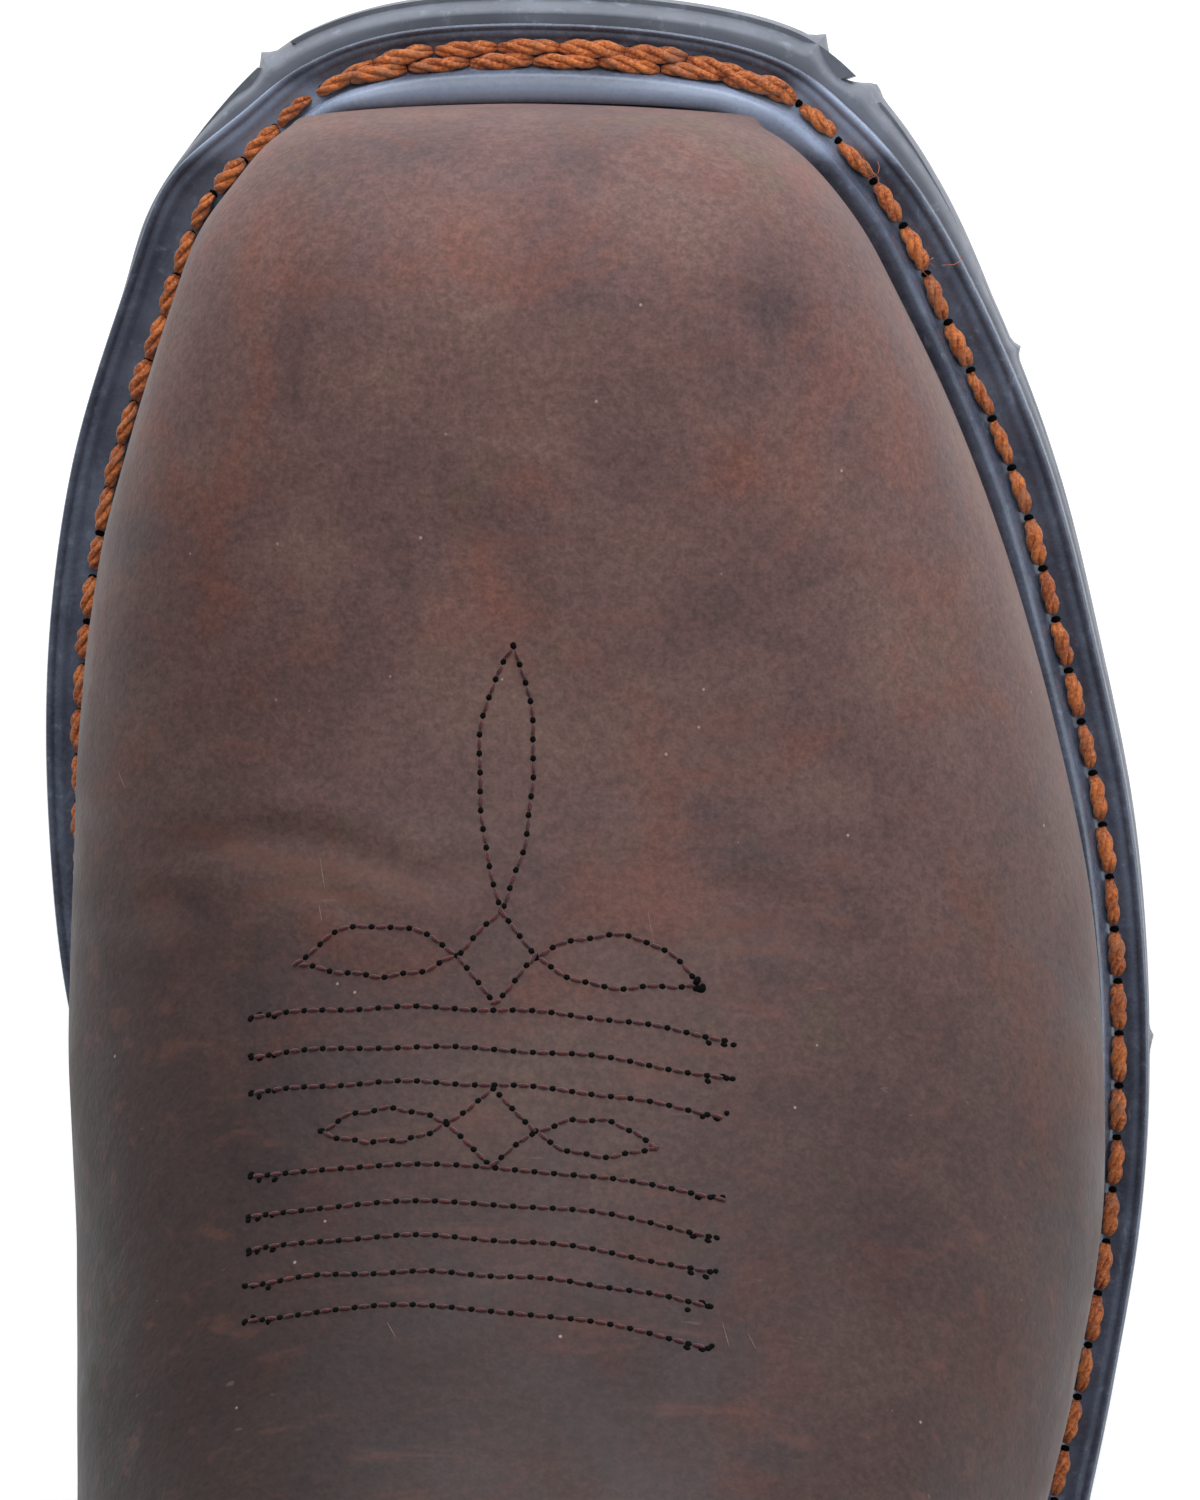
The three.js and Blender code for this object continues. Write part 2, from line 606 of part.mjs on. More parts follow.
function welt() {
  const rings = weltEdge.map((row) => {
    const out = row.across + (row.bead * beadWidth - row.rib * ribWidth) / weltWidth;
    const up = row.thick * weltThickness + row.rise * ribHeight - row.groove * grooveDepth;
    return lifted(offsetRing((along) => -out * weltWidthAt(along)), topOfSole + up);
  });
  const ring = geometryFrom(rings.flat(), ringSides(rings.length, rings[0].length, true));
  return solidFrom(ring).subtract(form(overlayStand + fitGap));
}

// Piping over each side seam, from the overlays up to the collar binding
function piping(side) {
  return shell(fitGap, fitGap + pipingWall)
    .intersect(pipingRegion(side))
    .subtract(vampRegion(fitGap))
    .subtract(counterRegion(fitGap))
    .subtract(aboveCollar(-bindingDepth - fitGap));
}

// Binding folded over the collar's edge
function binding() {
  const around = shell(-upperWall - bindingStand, bindingStand)
    .subtract(aboveCollar(bindingStand))
    .intersect(aboveCollar(-bindingDepth));
  return around.subtract(shell(-upperWall - fitGap, fitGap).subtract(aboveCollar(fitGap)));
}

// Pull strap: a leg outside the shaft, a leg inside it and a loop that joins them over the collar
function pullStrap(side) {
  const from = collarMiddle - strapWidth / 2;
  const to = collarMiddle + strapWidth / 2;
  const legTop = collarZ + bindingStand + strapWall;
  const place = sideSolid(
    [[from, collarZ - strapDrop], [to, collarZ - strapDrop], [to, legTop], [from, legTop]],
    ...oneSide(side));
  const outside = bindingStand + fitGap;
  const outerLeg = shell(outside, outside + strapWall).intersect(place);
  const innerLeg = shell(-upperWall - outside - strapWall, -upperWall - outside).intersect(place);
  const rim = geometryOf(outerLeg);
  rim.computeBoundingBox();
  const reach = side > 0 ? rim.boundingBox.max.x : -rim.boundingBox.min.x;
  const legsApart = upperWall + 2 * outside + 2 * strapWall;
  const middle = reach - legsApart / 2;

  const wide = loopWidth / 2;
  const tall = loopRise / 2;
  const start = Math.acos(legsApart / 2 / wide);
  const loopMiddle = legTop + tall * Math.sin(start) - strapWall;
  const arc = (inset) => steps(-start, Math.PI + start, loopSteps).map((angle) => new THREE.Vector2(
    middle + (wide - inset) * Math.cos(angle), loopMiddle + (tall - inset) * Math.sin(angle)));
  const band = new THREE.Shape([...arc(0), ...arc(strapWall).reverse()]);
  const loop = new THREE.ExtrudeGeometry(band, { depth: strapWidth, bevelEnabled: false });
  loop.rotateX(Math.PI / 2);
  loop.translate(0, to, 0);
  if (side < 0) {
    loop.rotateZ(Math.PI);
    loop.translate(0, from + to, 0);
  }
  return outerLeg.add(innerLeg).add(solidFrom(loop));
}

// Materials
const leather = new THREE.MeshStandardMaterial({ color: 0x6b5145, roughness: 0.62, metalness: 0 });
const trimLeather = new THREE.MeshStandardMaterial({ color: 0x4a372f, roughness: 0.6, metalness: 0 });
const rubber = new THREE.MeshStandardMaterial({ color: 0x2b2c2e, roughness: 0.75, metalness: 0 });
const weltRubber = new THREE.MeshStandardMaterial({ color: 0x25272b, roughness: 0.4, metalness: 0 });
const webbing = new THREE.MeshStandardMaterial({ color: 0x4b3a2c, roughness: 0.85, metalness: 0 });
const footbed = new THREE.MeshStandardMaterial({ color: 0x9a7a58, roughness: 0.8, metalness: 0 });

const boot = new THREE.Group();

function place(name, solid, material) {
  const mesh = new THREE.Mesh(geometryOf(solid), material);
  mesh.name = name;
  boot.add(mesh);
}

place('outsole', outsole(), rubber);
place('heel', heel(), rubber);
place('welt', welt(), weltRubber);
place('insole', insole(), footbed);
place('upper', upper(), leather);
place('vamp', vamp(), leather);
place('counter', counter(), leather);
place('piping_inner', piping(-1), trimLeather);
place('piping_outer', piping(1), trimLeather);
place('binding', binding(), trimLeather);
place('pull_strap_inner', pullStrap(-1), webbing);
place('pull_strap_outer', pullStrap(1), webbing);

export default boot;
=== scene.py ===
# A right western work boot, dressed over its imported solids. The tables are in millimetres and the
# meshes in metres. +Y runs to the toe, +X to the outer side of the foot, +Z up.
import math
import random
import bmesh
import bpy
import numpy as np
from mathutils import Matrix, Vector, noise
from mathutils.bvhtree import BVHTree


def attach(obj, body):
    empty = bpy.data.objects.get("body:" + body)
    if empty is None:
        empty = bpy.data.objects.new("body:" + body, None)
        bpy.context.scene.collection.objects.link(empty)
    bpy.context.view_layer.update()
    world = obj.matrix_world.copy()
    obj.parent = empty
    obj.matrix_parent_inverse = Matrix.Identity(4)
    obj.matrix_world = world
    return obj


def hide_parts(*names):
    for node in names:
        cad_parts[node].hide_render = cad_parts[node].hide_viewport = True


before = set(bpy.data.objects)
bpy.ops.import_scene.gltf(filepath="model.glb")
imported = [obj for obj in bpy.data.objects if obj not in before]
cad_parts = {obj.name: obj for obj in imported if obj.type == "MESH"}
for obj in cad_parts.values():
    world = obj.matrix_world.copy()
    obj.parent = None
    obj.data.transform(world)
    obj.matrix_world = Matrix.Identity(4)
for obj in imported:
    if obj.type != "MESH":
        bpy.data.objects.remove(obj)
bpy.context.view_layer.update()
mm = 0.001
luck = random.Random(11)
print("frame loaded")

# Camera and view of the photo
photo = {
    "width": 1200, "height": 1500, "mmPerPixel": 0.1085,
    "target": (-4.4, 192, 16), "distance": 550, "leanAcross": 4.2, "leanAlong": 6, "sensor": 36,
}
leanAcross, leanAlong = (math.tan(math.radians(photo[key])) for key in ("leanAcross", "leanAlong"))
lookUp = Vector((leanAcross, leanAlong, 1)).normalized()
viewRight = Vector((0, 1, 0)).cross(lookUp).normalized()
viewUp = lookUp.cross(viewRight)
target = Vector(photo["target"]) * mm
eye = target + lookUp * photo["distance"] * mm

camera = bpy.data.objects.new("camera", bpy.data.cameras.new("camera"))
camera.data.sensor_fit = "VERTICAL"
camera.data.sensor_height = photo["sensor"]
camera.data.lens = photo["sensor"] * photo["distance"] / (photo["height"] * photo["mmPerPixel"])
camera.matrix_world = Matrix.Translation(eye) @ Matrix((viewRight, viewUp, lookUp)).transposed().to_4x4()
bpy.context.scene.collection.objects.link(camera)
bpy.context.scene.camera = camera


# The line of sight through a place in the photo
def sightLine(across, down):
    x = (across - photo["width"] / 2) * photo["mmPerPixel"] * mm
    y = (photo["height"] / 2 - down) * photo["mmPerPixel"] * mm
    return (target + viewRight * x + viewUp * y - eye).normalized()


# Sole and last, as in the part's source
sole = {
    "length": 312, "ballWidth": 117, "behindOrigin": 39, "heelHeight": 28, "treadHeight": 4.5,
    "thickness": 7.5, "breast": 0.247, "tread": 0.49, "shankEnd": 0.6, "spring": 0.745,
    "springCurve": 1.7, "toeSpring": 12, "toeFlare": 3, "plateSet": 0.3,
    "weltThickness": 4, "weltWidth": 9.2, "ribHeight": 2.6, "fitGap": 0.3,
    # along the sole, inner and outer half widths, welt width and flare, as shares
    "outline": [
        (0.011, 0.128, 0.128, 0.35, 0.1), (0.045, 0.256, 0.256, 0.35, 0.1),
        (0.103, 0.329, 0.329, 0.35, 0.1), (0.183, 0.339, 0.342, 0.37, 0.1),
        (0.279, 0.325, 0.346, 0.50, 0.1), (0.375, 0.320, 0.365, 0.62, 0.1),
        (0.455, 0.350, 0.406, 0.69, 0.1), (0.519, 0.416, 0.442, 0.72, 0.1),
        (0.583, 0.488, 0.4685, 0.74, 0.1), (0.644, 0.538, 0.4725, 0.78, 0.1),
        (0.712, 0.557, 0.4575, 0.88, 0.12), (0.776, 0.555, 0.4225, 0.96, 0.15),
        (0.840, 0.528, 0.377, 1.0, 0.2), (0.897, 0.478, 0.314, 0.99, 0.32),
        (0.936, 0.434, 0.257, 0.97, 0.6), (0.962, 0.362, 0.198, 0.96, 0.9),
        (0.979, 0.300, 0.138, 0.96, 1.0), (0.990, 0.205, 0.015, 0.96, 0.95),
    ],
}


def soleStep(share):
    return share * sole["length"] - sole["behindOrigin"]


heelBack = soleStep(0)
toeY = soleStep(1)
breastY = soleStep(sole["breast"])
treadStartY = soleStep(sole["tread"])
shankEndY = soleStep(sole["shankEnd"])
springStartY = soleStep(sole["spring"])
topOfSole = sole["thickness"] + sole["fitGap"]
seatRise = topOfSole + sole["weltThickness"]
heelSeat = sole["heelHeight"] + seatRise
ballSeat = sole["treadHeight"] + seatRise


# Height of the underside of the sole plate
def soleLift(y):
    shank = np.clip((np.asarray(y, float) - breastY) / (shankEndY - breastY), 0, 1)
    shank = shank * shank * (3 - 2 * shank)
    ahead = np.clip((np.asarray(y, float) - springStartY) / (toeY - springStartY), 0, 1.2)
    level = sole["heelHeight"] + (sole["treadHeight"] - sole["heelHeight"]) * shank
    return level + sole["toeSpring"] * ahead ** sole["springCurve"]


# Points spread evenly along a path
def evenly(points, count, closed=False):
    points = np.asarray(points, float)
    if closed:
        points = np.vstack([points, points[:1]])
    gone = np.r_[0, np.cumsum(np.linalg.norm(np.diff(points, axis=0), axis=1))]
    places = np.linspace(0, gone[-1], count + 1 if closed else count)
    if closed:
        places = places[:-1]
    return np.column_stack([np.interp(places, gone, column) for column in points.T])


# A centripetal spline through the points
def smoothPath(points, closed=False, perSpan=24):
    points = np.asarray(points, float)
    count = len(points)
    if closed:
        around = np.vstack([points[-1:], points, points[:2]])
    else:
        around = np.vstack([2 * points[:1] - points[1:2], points, 2 * points[-1:] - points[-2:-1]])
    shares = np.linspace(0, 1, perSpan, endpoint=False)[:, None]
    path = []
    for i in range(count if closed else count - 1):
        a, b, c, d = around[i:i + 4]
        ab, bc, cd = (max(np.linalg.norm(q - p), 1e-6) ** 0.5 for p, q in ((a, b), (b, c), (c, d)))
        leave = ((b - a) / ab - (c - a) / (ab + bc) + (c - b) / bc) * bc
        arrive = ((c - b) / bc - (d - b) / (bc + cd) + (d - c) / cd) * bc
        cubic = 2 * b - 2 * c + leave + arrive
        square = -3 * b + 3 * c - 2 * leave - arrive
        path.append(b + leave * shares + square * shares ** 2 + cubic * shares ** 3)
    if not closed:
        path.append(points[-1:])
    return np.vstack(path)


# The welt's outline as an even ring, from the back of the heel round the inner side
ringCount = 1080
outlineTable = np.array(sole["outline"])
innerSide = np.column_stack([-outlineTable[:, 1] * sole["ballWidth"], soleStep(outlineTable[:, 0])])
outerSide = np.column_stack([outlineTable[:, 2] * sole["ballWidth"], soleStep(outlineTable[:, 0])])[::-1]
ring = evenly(smoothPath(np.vstack([[[0, heelBack]], innerSide, outerSide]), closed=True), ringCount, True)
ringRun = np.roll(ring, -1, axis=0) - np.roll(ring, 1, axis=0)
ringOut = np.column_stack([-ringRun[:, 1], ringRun[:, 0]])
ringOut /= np.linalg.norm(ringOut, axis=1)[:, None]
ringAlong = (ring[:, 1] - heelBack) / sole["length"]
weltWidths = sole["weltWidth"] * np.interp(ringAlong, outlineTable[:, 0], outlineTable[:, 3])
flares = sole["toeFlare"] * np.interp(ringAlong, outlineTable[:, 0], outlineTable[:, 4])
# the inner corner of the toe flares less
corner = {"share": 0.939, "half": 0.016, "less": 0.42}
innerHalf = slice(0, ringCount // 2)
cornerShare = np.exp(-(((ringAlong[innerHalf] - corner["share"]) / corner["half"]) ** 2))
flares[innerHalf] *= 1 - corner["less"] * cornerShare
overlayStand = 1.9


def offsetRing(distance):
    return ring + ringOut * np.broadcast_to(distance, ringCount)[:, None]


feather = offsetRing(-weltWidths - overlayStand - sole["fitGap"])
tip = int(np.argmax(feather[:, 1]))
featherInner = feather[:tip + 1]
featherOuter = np.vstack([feather[tip:], feather[:1]])[::-1]
featherBack = feather[0, 1]
featherLength = feather[tip, 1] - featherBack


def featherX(side, y):
    line = (featherInner, featherOuter)[side]
    return np.interp(y, np.maximum.accumulate(line[:, 1]), line[:, 0])


# Sections of the upper, as in the part's source: front and back points, widths and roundness
last = {
    "instepHeight": 130, "ankleHeight": 75, "shaftHeight": 278, "shaftWidth": 102,
    "upperWall": 2.4, "frontDip": 24, "backDip": 16, "dipCurve": 2.2, "collarPlace": 0.22,
    "collarSpan": 0.25,
    # front, back, rise, up, inner, outer, ridge, belly, square, round, heel, climb, shaft
    "rows": [
        (0.9993, 0.9993, 0.105, 0, 0.131, 0.144, -0.098, 0.50, 3.2, 1, 0, 0, 0),
        (0.9966, 0.9966, 0.163, 0, 0.079, 0.078, -0.095, 0.46, 3.1, 1, 0, 0, 0),
        (0.9899, 0.9899, 0.220, 0, 0.051, 0.038, -0.090, 0.42, 3.0, 1, 0, 0, 0),
        (0.9782, 0.9782, 0.268, 0, 0.033, 0.030, -0.085, 0.38, 2.95, 1, 0, 0, 0),
        (0.9597, 0.9597, 0.309, 0, 0.012, 0.023, -0.080, 0.35, 2.9, 1, 0, 0, 0),
        (0.9328, 0.9328, 0.340, 0, 0.007, 0.018, -0.076, 0.33, 2.85, 1, 0, 0, 0),
        (0.8925, 0.8925, 0.362, 0, 0.005, 0.020, -0.073, 0.32, 2.75, 1, 0, 0, 0),
        (0.8422, 0.8422, 0.382, 0, 0.008, 0.022, -0.072, 0.32, 2.65, 1, 0, 0, 0),
        (0.7851, 0.7851, 0.410, 0, 0.009, 0.024, -0.071, 0.32, 2.55, 1, 0, 0, 0),
        (0.7280, 0.7280, 0.455, 0, 0.009, 0.022, -0.070, 0.33, 2.45, 1, 0, 0, 0),
        (0.6743, 0.6743, 0.516, 0, 0.016, 0.018, -0.067, 0.35, 2.38, 1, 0, 0, 0),
        (0.6210, 0.6180, 0.596, 0, 0.041, 0.014, -0.060, 0.38, 2.3, 1, 0, 0, 0),
        (0.5740, 0.5640, 0.688, 0, 0.082, 0.006, -0.050, 0.42, 2.22, 1, 0, 0, 0),
        (0.5330, 0.4930, 0.785, 0, 0.139, 0.003, -0.040, 0.45, 2.15, 1, 0, 0, 0),
        (0.5000, 0.3990, 0.882, 0, 0.166, 0.024, -0.030, 0.46, 2.1, 1, 0, 0, 0),
        (0.4730, 0.2880, 0.977, 0, 0.123, 0.048, -0.020, 0.46, 2.08, 1, 0, 0, 0),
        (0.4560, 0.1710, 1, 0.064, 0.068, 0.044, -0.010, 0.46, 2.05, 0.95, 0, 0, 0),
        (0.4480, 0.0730, 1, 0.134, 0.064, 0.055, 0, 0.47, 2.05, 0.8, 0, 0, 0),
        (0.4440, 0.0230, 1, 0.195, 0.160, 0.160, 0, 0.48, 2.05, 0.6, 0, 0, 0),
        (0.4430, 0.0000, 1, 0.218, 0, 0, 0, 0.485, 2.05, 0.55, 0, 0, 0.385),
        (0.4419, -0.0010, 1, 0.244, 0, 0, 0, 0.49, 2.05, 0.5, 0.08, 0, 0.388),
        (0.4409, -0.0042, 1, 0.337, 0, 0, 0, 0.5, 2.05, 0.5, 0.56, 0, 0.397),
        (0.4412, 0.0077, 1, 0.395, 0, 0, 0, 0.5, 2.05, 0.5, 1, 0, 0.410),
        (0.4426, 0.0141, 1, 0.465, 0, 0, 0, 0.5, 2.05, 0.5, 1, 0.133, 0.423),
        (0.4476, 0.0060, 1, 0.651, 0, 0, 0, 0.5, 2.1, 0.5, 1, 0.443, 0.452),
        (0.4516, -0.0040, 1, 0.779, 0, 0, 0, 0.5, 2.1, 0.5, 1, 0.640, 0.470),
        (0.4560, -0.0120, 1, 0.913, 0, 0, 0, 0.5, 2.1, 0.5, 1, 0.837, 0.488),
        (0.4600, -0.0200, 1, 1.12, 0, 0, 0, 0.5, 2.1, 0.5, 1, 1.10, 0.5),
    ],
    "closing": 19,
}
throatZ = ballSeat + last["instepHeight"]
collarZ = heelSeat + last["shaftHeight"]
collarMiddle = featherBack + last["collarPlace"] * featherLength
collarReach = last["collarSpan"] * featherLength


def collarHeight(y):
    across = np.clip((y - collarMiddle) / collarReach, -1, 1)
    dip = np.where(across > 0, last["frontDip"], last["backDip"])
    return collarZ - dip * np.abs(across) ** last["dipCurve"]


# What a section needs, in millimetres: frontY, frontZ, backY, backZ, widest inner and outer, ridge,
# belly, square and round
def sectionNumbers():
    numbers = []
    for i, row in enumerate(last["rows"]):
        front, back, rise, up, inner, outer, ridge, belly, square, rounding, heel, climb, shaft = row
        frontY = featherBack + front * featherLength
        backY = featherBack + back * featherLength
        sprung = float(soleLift(frontY)) - sole["treadHeight"] if frontY > springStartY else 0
        frontZ = ballSeat + sprung + rise * last["instepHeight"] + up * (collarZ - throatZ)
        climbing = heel * last["ankleHeight"] + climb * (last["shaftHeight"] - last["ankleHeight"])
        backZ = float(soleLift(backY)) + seatRise + climbing
        onSole = i < last["closing"]
        footIn, footOut = (float(featherX(side, backY)) if onSole else 0 for side in (0, 1))
        widestIn = footIn - inner * sole["ballWidth"] - shaft * last["shaftWidth"]
        widestOut = footOut + outer * sole["ballWidth"] + shaft * last["shaftWidth"]
        numbers.append((frontY, frontZ, backY, backZ, widestIn, widestOut,
                        ridge * sole["ballWidth"], belly, square, rounding))
    return np.array(numbers)


rowNumbers = sectionNumbers()


# Reads the rows smoothly at any place between them
def readRows(place):
    low = int(min(max(math.floor(place), 0), len(rowNumbers) - 2))
    share = place - low
    a, b, c, d = (rowNumbers[min(max(low + k, 0), len(rowNumbers) - 1)] for k in (-1, 0, 1, 2))
    leave, arrive = (c - a) / 2, (d - b) / 2
    square = -3 * b + 3 * c - 2 * leave - arrive
    cubic = 2 * b - 2 * c + leave + arrive
    return b + leave * share + square * share ** 2 + cubic * share ** 3


# One section as points from the inner foot over the ridge to the outer foot, with a strip below
def sectionLine(place, half, drops):
    frontY, frontZ, backY, backZ, widestIn, widestOut, ridge, belly, square, rounding = readRows(place)
    onSole = place <= last["closing"]
    lower = 1 - np.cos(np.linspace(0, math.pi / 2, 16)[:-1])
    swell = (1 - (1 - lower) ** 2) ** rounding
    turn = math.pi / 4 * (1 - np.cos(math.pi * np.linspace(0, 1, 70)))
    inwards, upwards = np.cos(turn) ** (2 / square), np.sin(turn) ** (2 / square)
    sides = []
    for side, widest in enumerate((widestIn, widestOut)):
        foot = float(featherX(side, backY)) if onSole else 0
        x = np.r_[foot + (widest - foot) * swell, ridge + (widest - ridge) * inwards]
        height = np.r_[belly * lower, belly + (1 - belly) * upwards]
        line = np.column_stack([x, backY + (frontY - backY) * height, backZ + (frontZ - backZ) * height])
        line = evenly(line, half + 1)
        below = [line[0] - (0, 0, drop if onSole else 0) for drop in drops]
        sides.append(np.vstack([below, line]) if drops else line)
    return np.vstack([sides[0], sides[1][::-1][1:]])


# Sections from one place to another, about so far apart
def sectionPlaces(start, stop, gap):
    places = []
    for low in range(int(start), int(math.ceil(stop))):
        a, b = rowNumbers[low], rowNumbers[low + 1]
        far = max(np.hypot(*(b[:2] - a[:2])), np.hypot(*(b[2:4] - a[2:4])), np.abs(b[4:6] - a[4:6]).max())
        count = max(2, int(math.ceil(far / gap)))
        places.extend(low + k / count for k in range(count))
    return np.array([p for p in places if start <= p < stop] + [stop])


# The front of the toe: fans out from the line between the feet of the first section
def toeWall(first, count, drops):
    shares = np.clip((np.arange(len(first)) - drops) / (len(first) - 1 - 2 * drops), 0, 1)[:, None]
    base = first[drops] + (first[-1 - drops] - first[drops]) * shares
    return [base + (first - base) * (k / count) for k in range(count)]


# Bows the front of the toe: its corners stand a little behind its middle
toeBow = {"middle": -10.9, "half": 25, "back": 1.3, "from": 238, "to": 259.5, "curve": 1.6}


def bowToe(points):
    near = np.clip((points[..., 1] - toeBow["from"]) / (toeBow["to"] - toeBow["from"]), 0, 1)
    across = (points[..., 0] - toeBow["middle"]) / toeBow["half"]
    points[..., 1] -= toeBow["back"] * across ** 2 * near ** toeBow["curve"]
    return points


# Softens the rows and columns of a grid of points where weight is above zero
def soften(points, weight, rounds):
    for _ in range(rounds):
        middle = (points[:-2, 1:-1] + points[2:, 1:-1] + points[1:-1, :-2] + points[1:-1, 2:]) / 4
        share = weight[1:-1, 1:-1, None] * 0.5
        points[1:-1, 1:-1] += share * (middle - points[1:-1, 1:-1])
    return points


# Outward directions of a grid whose rows run backwards from the toe and columns from inner to outer
def outwards(points):
    down = np.gradient(points, axis=0)
    across = np.gradient(points, axis=1)
    normals = np.cross(across, down)
    length = np.linalg.norm(normals, axis=2)
    weak = length < 1e-4
    normals /= np.maximum(length, 1e-9)[..., None]
    for row, column in np.argwhere(weak):
        normals[row, column] = normals[min(row + 4, len(normals) - 1), column]
    middle = normals[len(normals) // 2, normals.shape[1] // 2]
    return normals if middle[2] > 0 or middle[1] > 0 else -normals


# Ends every column of a grid where a test on its places changes sign, with its rows spread again
def endColumns(table, places, keep, test, fractions):
    columns = table.shape[1]
    grid = np.empty((len(fractions), columns, 3))
    for column in range(columns):
        line = table[:, column]
        outside = np.flatnonzero(test(line) < 0)
        outside = outside[outside > keep]
        stop = outside[0] if len(outside) else len(line) - 1
        before, after = test(line[stop - 1:stop]), test(line[stop:stop + 1])
        share = float(before[0] / (before[0] - after[0])) if len(outside) else 1
        finish = places[stop - 1] + (places[stop] - places[stop - 1]) * share
        start = places[keep]
        wanted = np.where(fractions <= start, fractions, start + (fractions - start) * (finish - start)
                          / (fractions[-1] - start))
        grid[:, column] = np.column_stack([np.interp(wanted, places, line[:, k]) for k in range(3)])
    return grid


# Meshes
def gridMesh(points, rubbed=None):
    rows, columns = points.shape[:2]
    bm = bmesh.new()
    bm.loops.layers.uv.new("UVMap")
    worn = bm.verts.layers.float.new("rubbed") if rubbed is not None else None
    bmesh.ops.create_grid(bm, x_segments=columns - 1, y_segments=rows - 1, size=1, calc_uvs=True)
    for vert in bm.verts:
        column = round((vert.co.x + 1) / 2 * (columns - 1))
        row = round((vert.co.y + 1) / 2 * (rows - 1))
        vert.co = points[row, column] * mm
        if worn:
            vert[worn] = rubbed[row, column]
    return bm


# Turns all faces round if most of them look inwards from a point or, without one, downwards
def faceOut(bm, middle=None):
    bm.normal_update()
    if middle is None:
        facing = sum(face.normal.z * face.calc_area() for face in bm.faces)
    else:
        centre = Vector(middle) * mm
        facing = sum(face.normal.dot(face.calc_center_median() - centre) * face.calc_area()
                     for face in bm.faces)
    if facing < 0:
        bmesh.ops.reverse_faces(bm, faces=bm.faces[:])


def weld(bm, distance=1e-6):
    bmesh.ops.remove_doubles(bm, verts=bm.verts[:], dist=distance)
    bmesh.ops.dissolve_degenerate(bm, dist=distance, edges=bm.edges[:])


def place(name, bm, paint, slot, nodes=()):
    mesh = bpy.data.meshes.new(name)
    bm.to_mesh(mesh)
    bm.free()
    piece = bpy.data.objects.new(name, mesh)
    bpy.context.scene.collection.objects.link(piece)
    for polygon in mesh.polygons:
        polygon.use_smooth = True
    for each in paint if isinstance(paint, list) else [paint]:
        mesh.materials.append(each)
    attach(piece, "root")
    if nodes:
        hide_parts(*nodes)
    print(name, len(mesh.polygons), "faces")
    return piece


def treeOf(bm):
    return BVHTree.FromBMesh(bm)


# Shader maths: a wire wraps a socket
class Wire:
    def __init__(self, paint, socket):
        self.paint = paint
        self.socket = socket

    def work(self, operation, first, second):
        return self.paint.node("ShaderNodeMath", {"operation": operation}, {0: first, 1: second})

    def __add__(self, other):
        return self.work("ADD", self, other)

    def __sub__(self, other):
        return self.work("SUBTRACT", self, other)

    def __rsub__(self, other):
        return self.work("SUBTRACT", other, self)

    def __mul__(self, other):
        return self.work("MULTIPLY", self, other)

    __radd__ = __add__
    __rmul__ = __mul__


class Paint:
    def __init__(self, name, fixed):
        self.material = bpy.data.materials.new(name)
        self.material.use_nodes = True
        self.tree = self.material.node_tree
        self.shader = self.tree.nodes["Principled BSDF"]
        for socket, value in fixed.items():
            self.shader.inputs[socket].default_value = value

    def node(self, kind, settings, sockets, output=0):
        made = self.tree.nodes.new(kind)
        for key, value in settings.items():
            if key == "stops":
                for i, (position, tone) in enumerate(value):
                    stop = made.color_ramp.elements[i] if i < 2 else made.color_ramp.elements.new(position)
                    stop.position = position
                    stop.color = tone
            else:
                setattr(made, key, value)
        for key, value in sockets.items():
            if isinstance(value, Wire):
                self.tree.links.new(value.socket, made.inputs[key])
            else:
                made.inputs[key].default_value = value
        return Wire(self, made.outputs[output])

    # Object coordinates, stretched by a factor along each axis
    def where(self, stretch=(1, 1, 1), turn=(0, 0, 0)):
        place = self.node("ShaderNodeTexCoord", {}, {}, "Object")
        if stretch == (1, 1, 1) and turn == (0, 0, 0):
            return place
        return self.node("ShaderNodeMapping", {}, {"Vector": place, "Scale": stretch, "Rotation": turn})

    def clouds(self, size, detail=4, rough=0.55, where=None, twist=0):
        sockets = {"Vector": where or self.where(), "Scale": 1 / (size * mm), "Detail": detail,
                   "Roughness": rough, "Distortion": twist}
        return self.node("ShaderNodeTexNoise", {}, sockets, 0)

    def cells(self, size):
        sockets = {"Vector": self.where(), "Scale": 1 / (size * mm)}
        return self.node("ShaderNodeTexVoronoi", {"feature": "F1"}, sockets)

    # Spreads a value from low to high over 0 to 1
    def spread(self, value, low, high, start=0, stop=1):
        sockets = {"Value": value, "From Min": low, "From Max": high, "To Min": start, "To Max": stop}
        return self.node("ShaderNodeMapRange", {"interpolation_type": "SMOOTHSTEP"}, sockets)

    def blend(self, share, first, second, way="MIX"):
        return self.node("ShaderNodeMix", {"data_type": "RGBA", "blend_type": way},
                         {0: share, 6: first, 7: second}, 2)

    def bump(self, height, strength, distance, under=None):
        sockets = {"Height": height, "Strength": strength, "Distance": distance * mm}
        if under:
            sockets["Normal"] = under
        return self.node("ShaderNodeBump", {}, sockets)

    def feed(self, **sockets):
        for name, wire in sockets.items():
            self.tree.links.new(wire.socket, self.shader.inputs[name])
        return self.material


def colour(red, green, blue):
    return tuple((c / 255 / 12.92) if c <= 10 else ((c / 255 + 0.055) / 1.055) ** 2.4
                 for c in (red, green, blue)) + (1,)


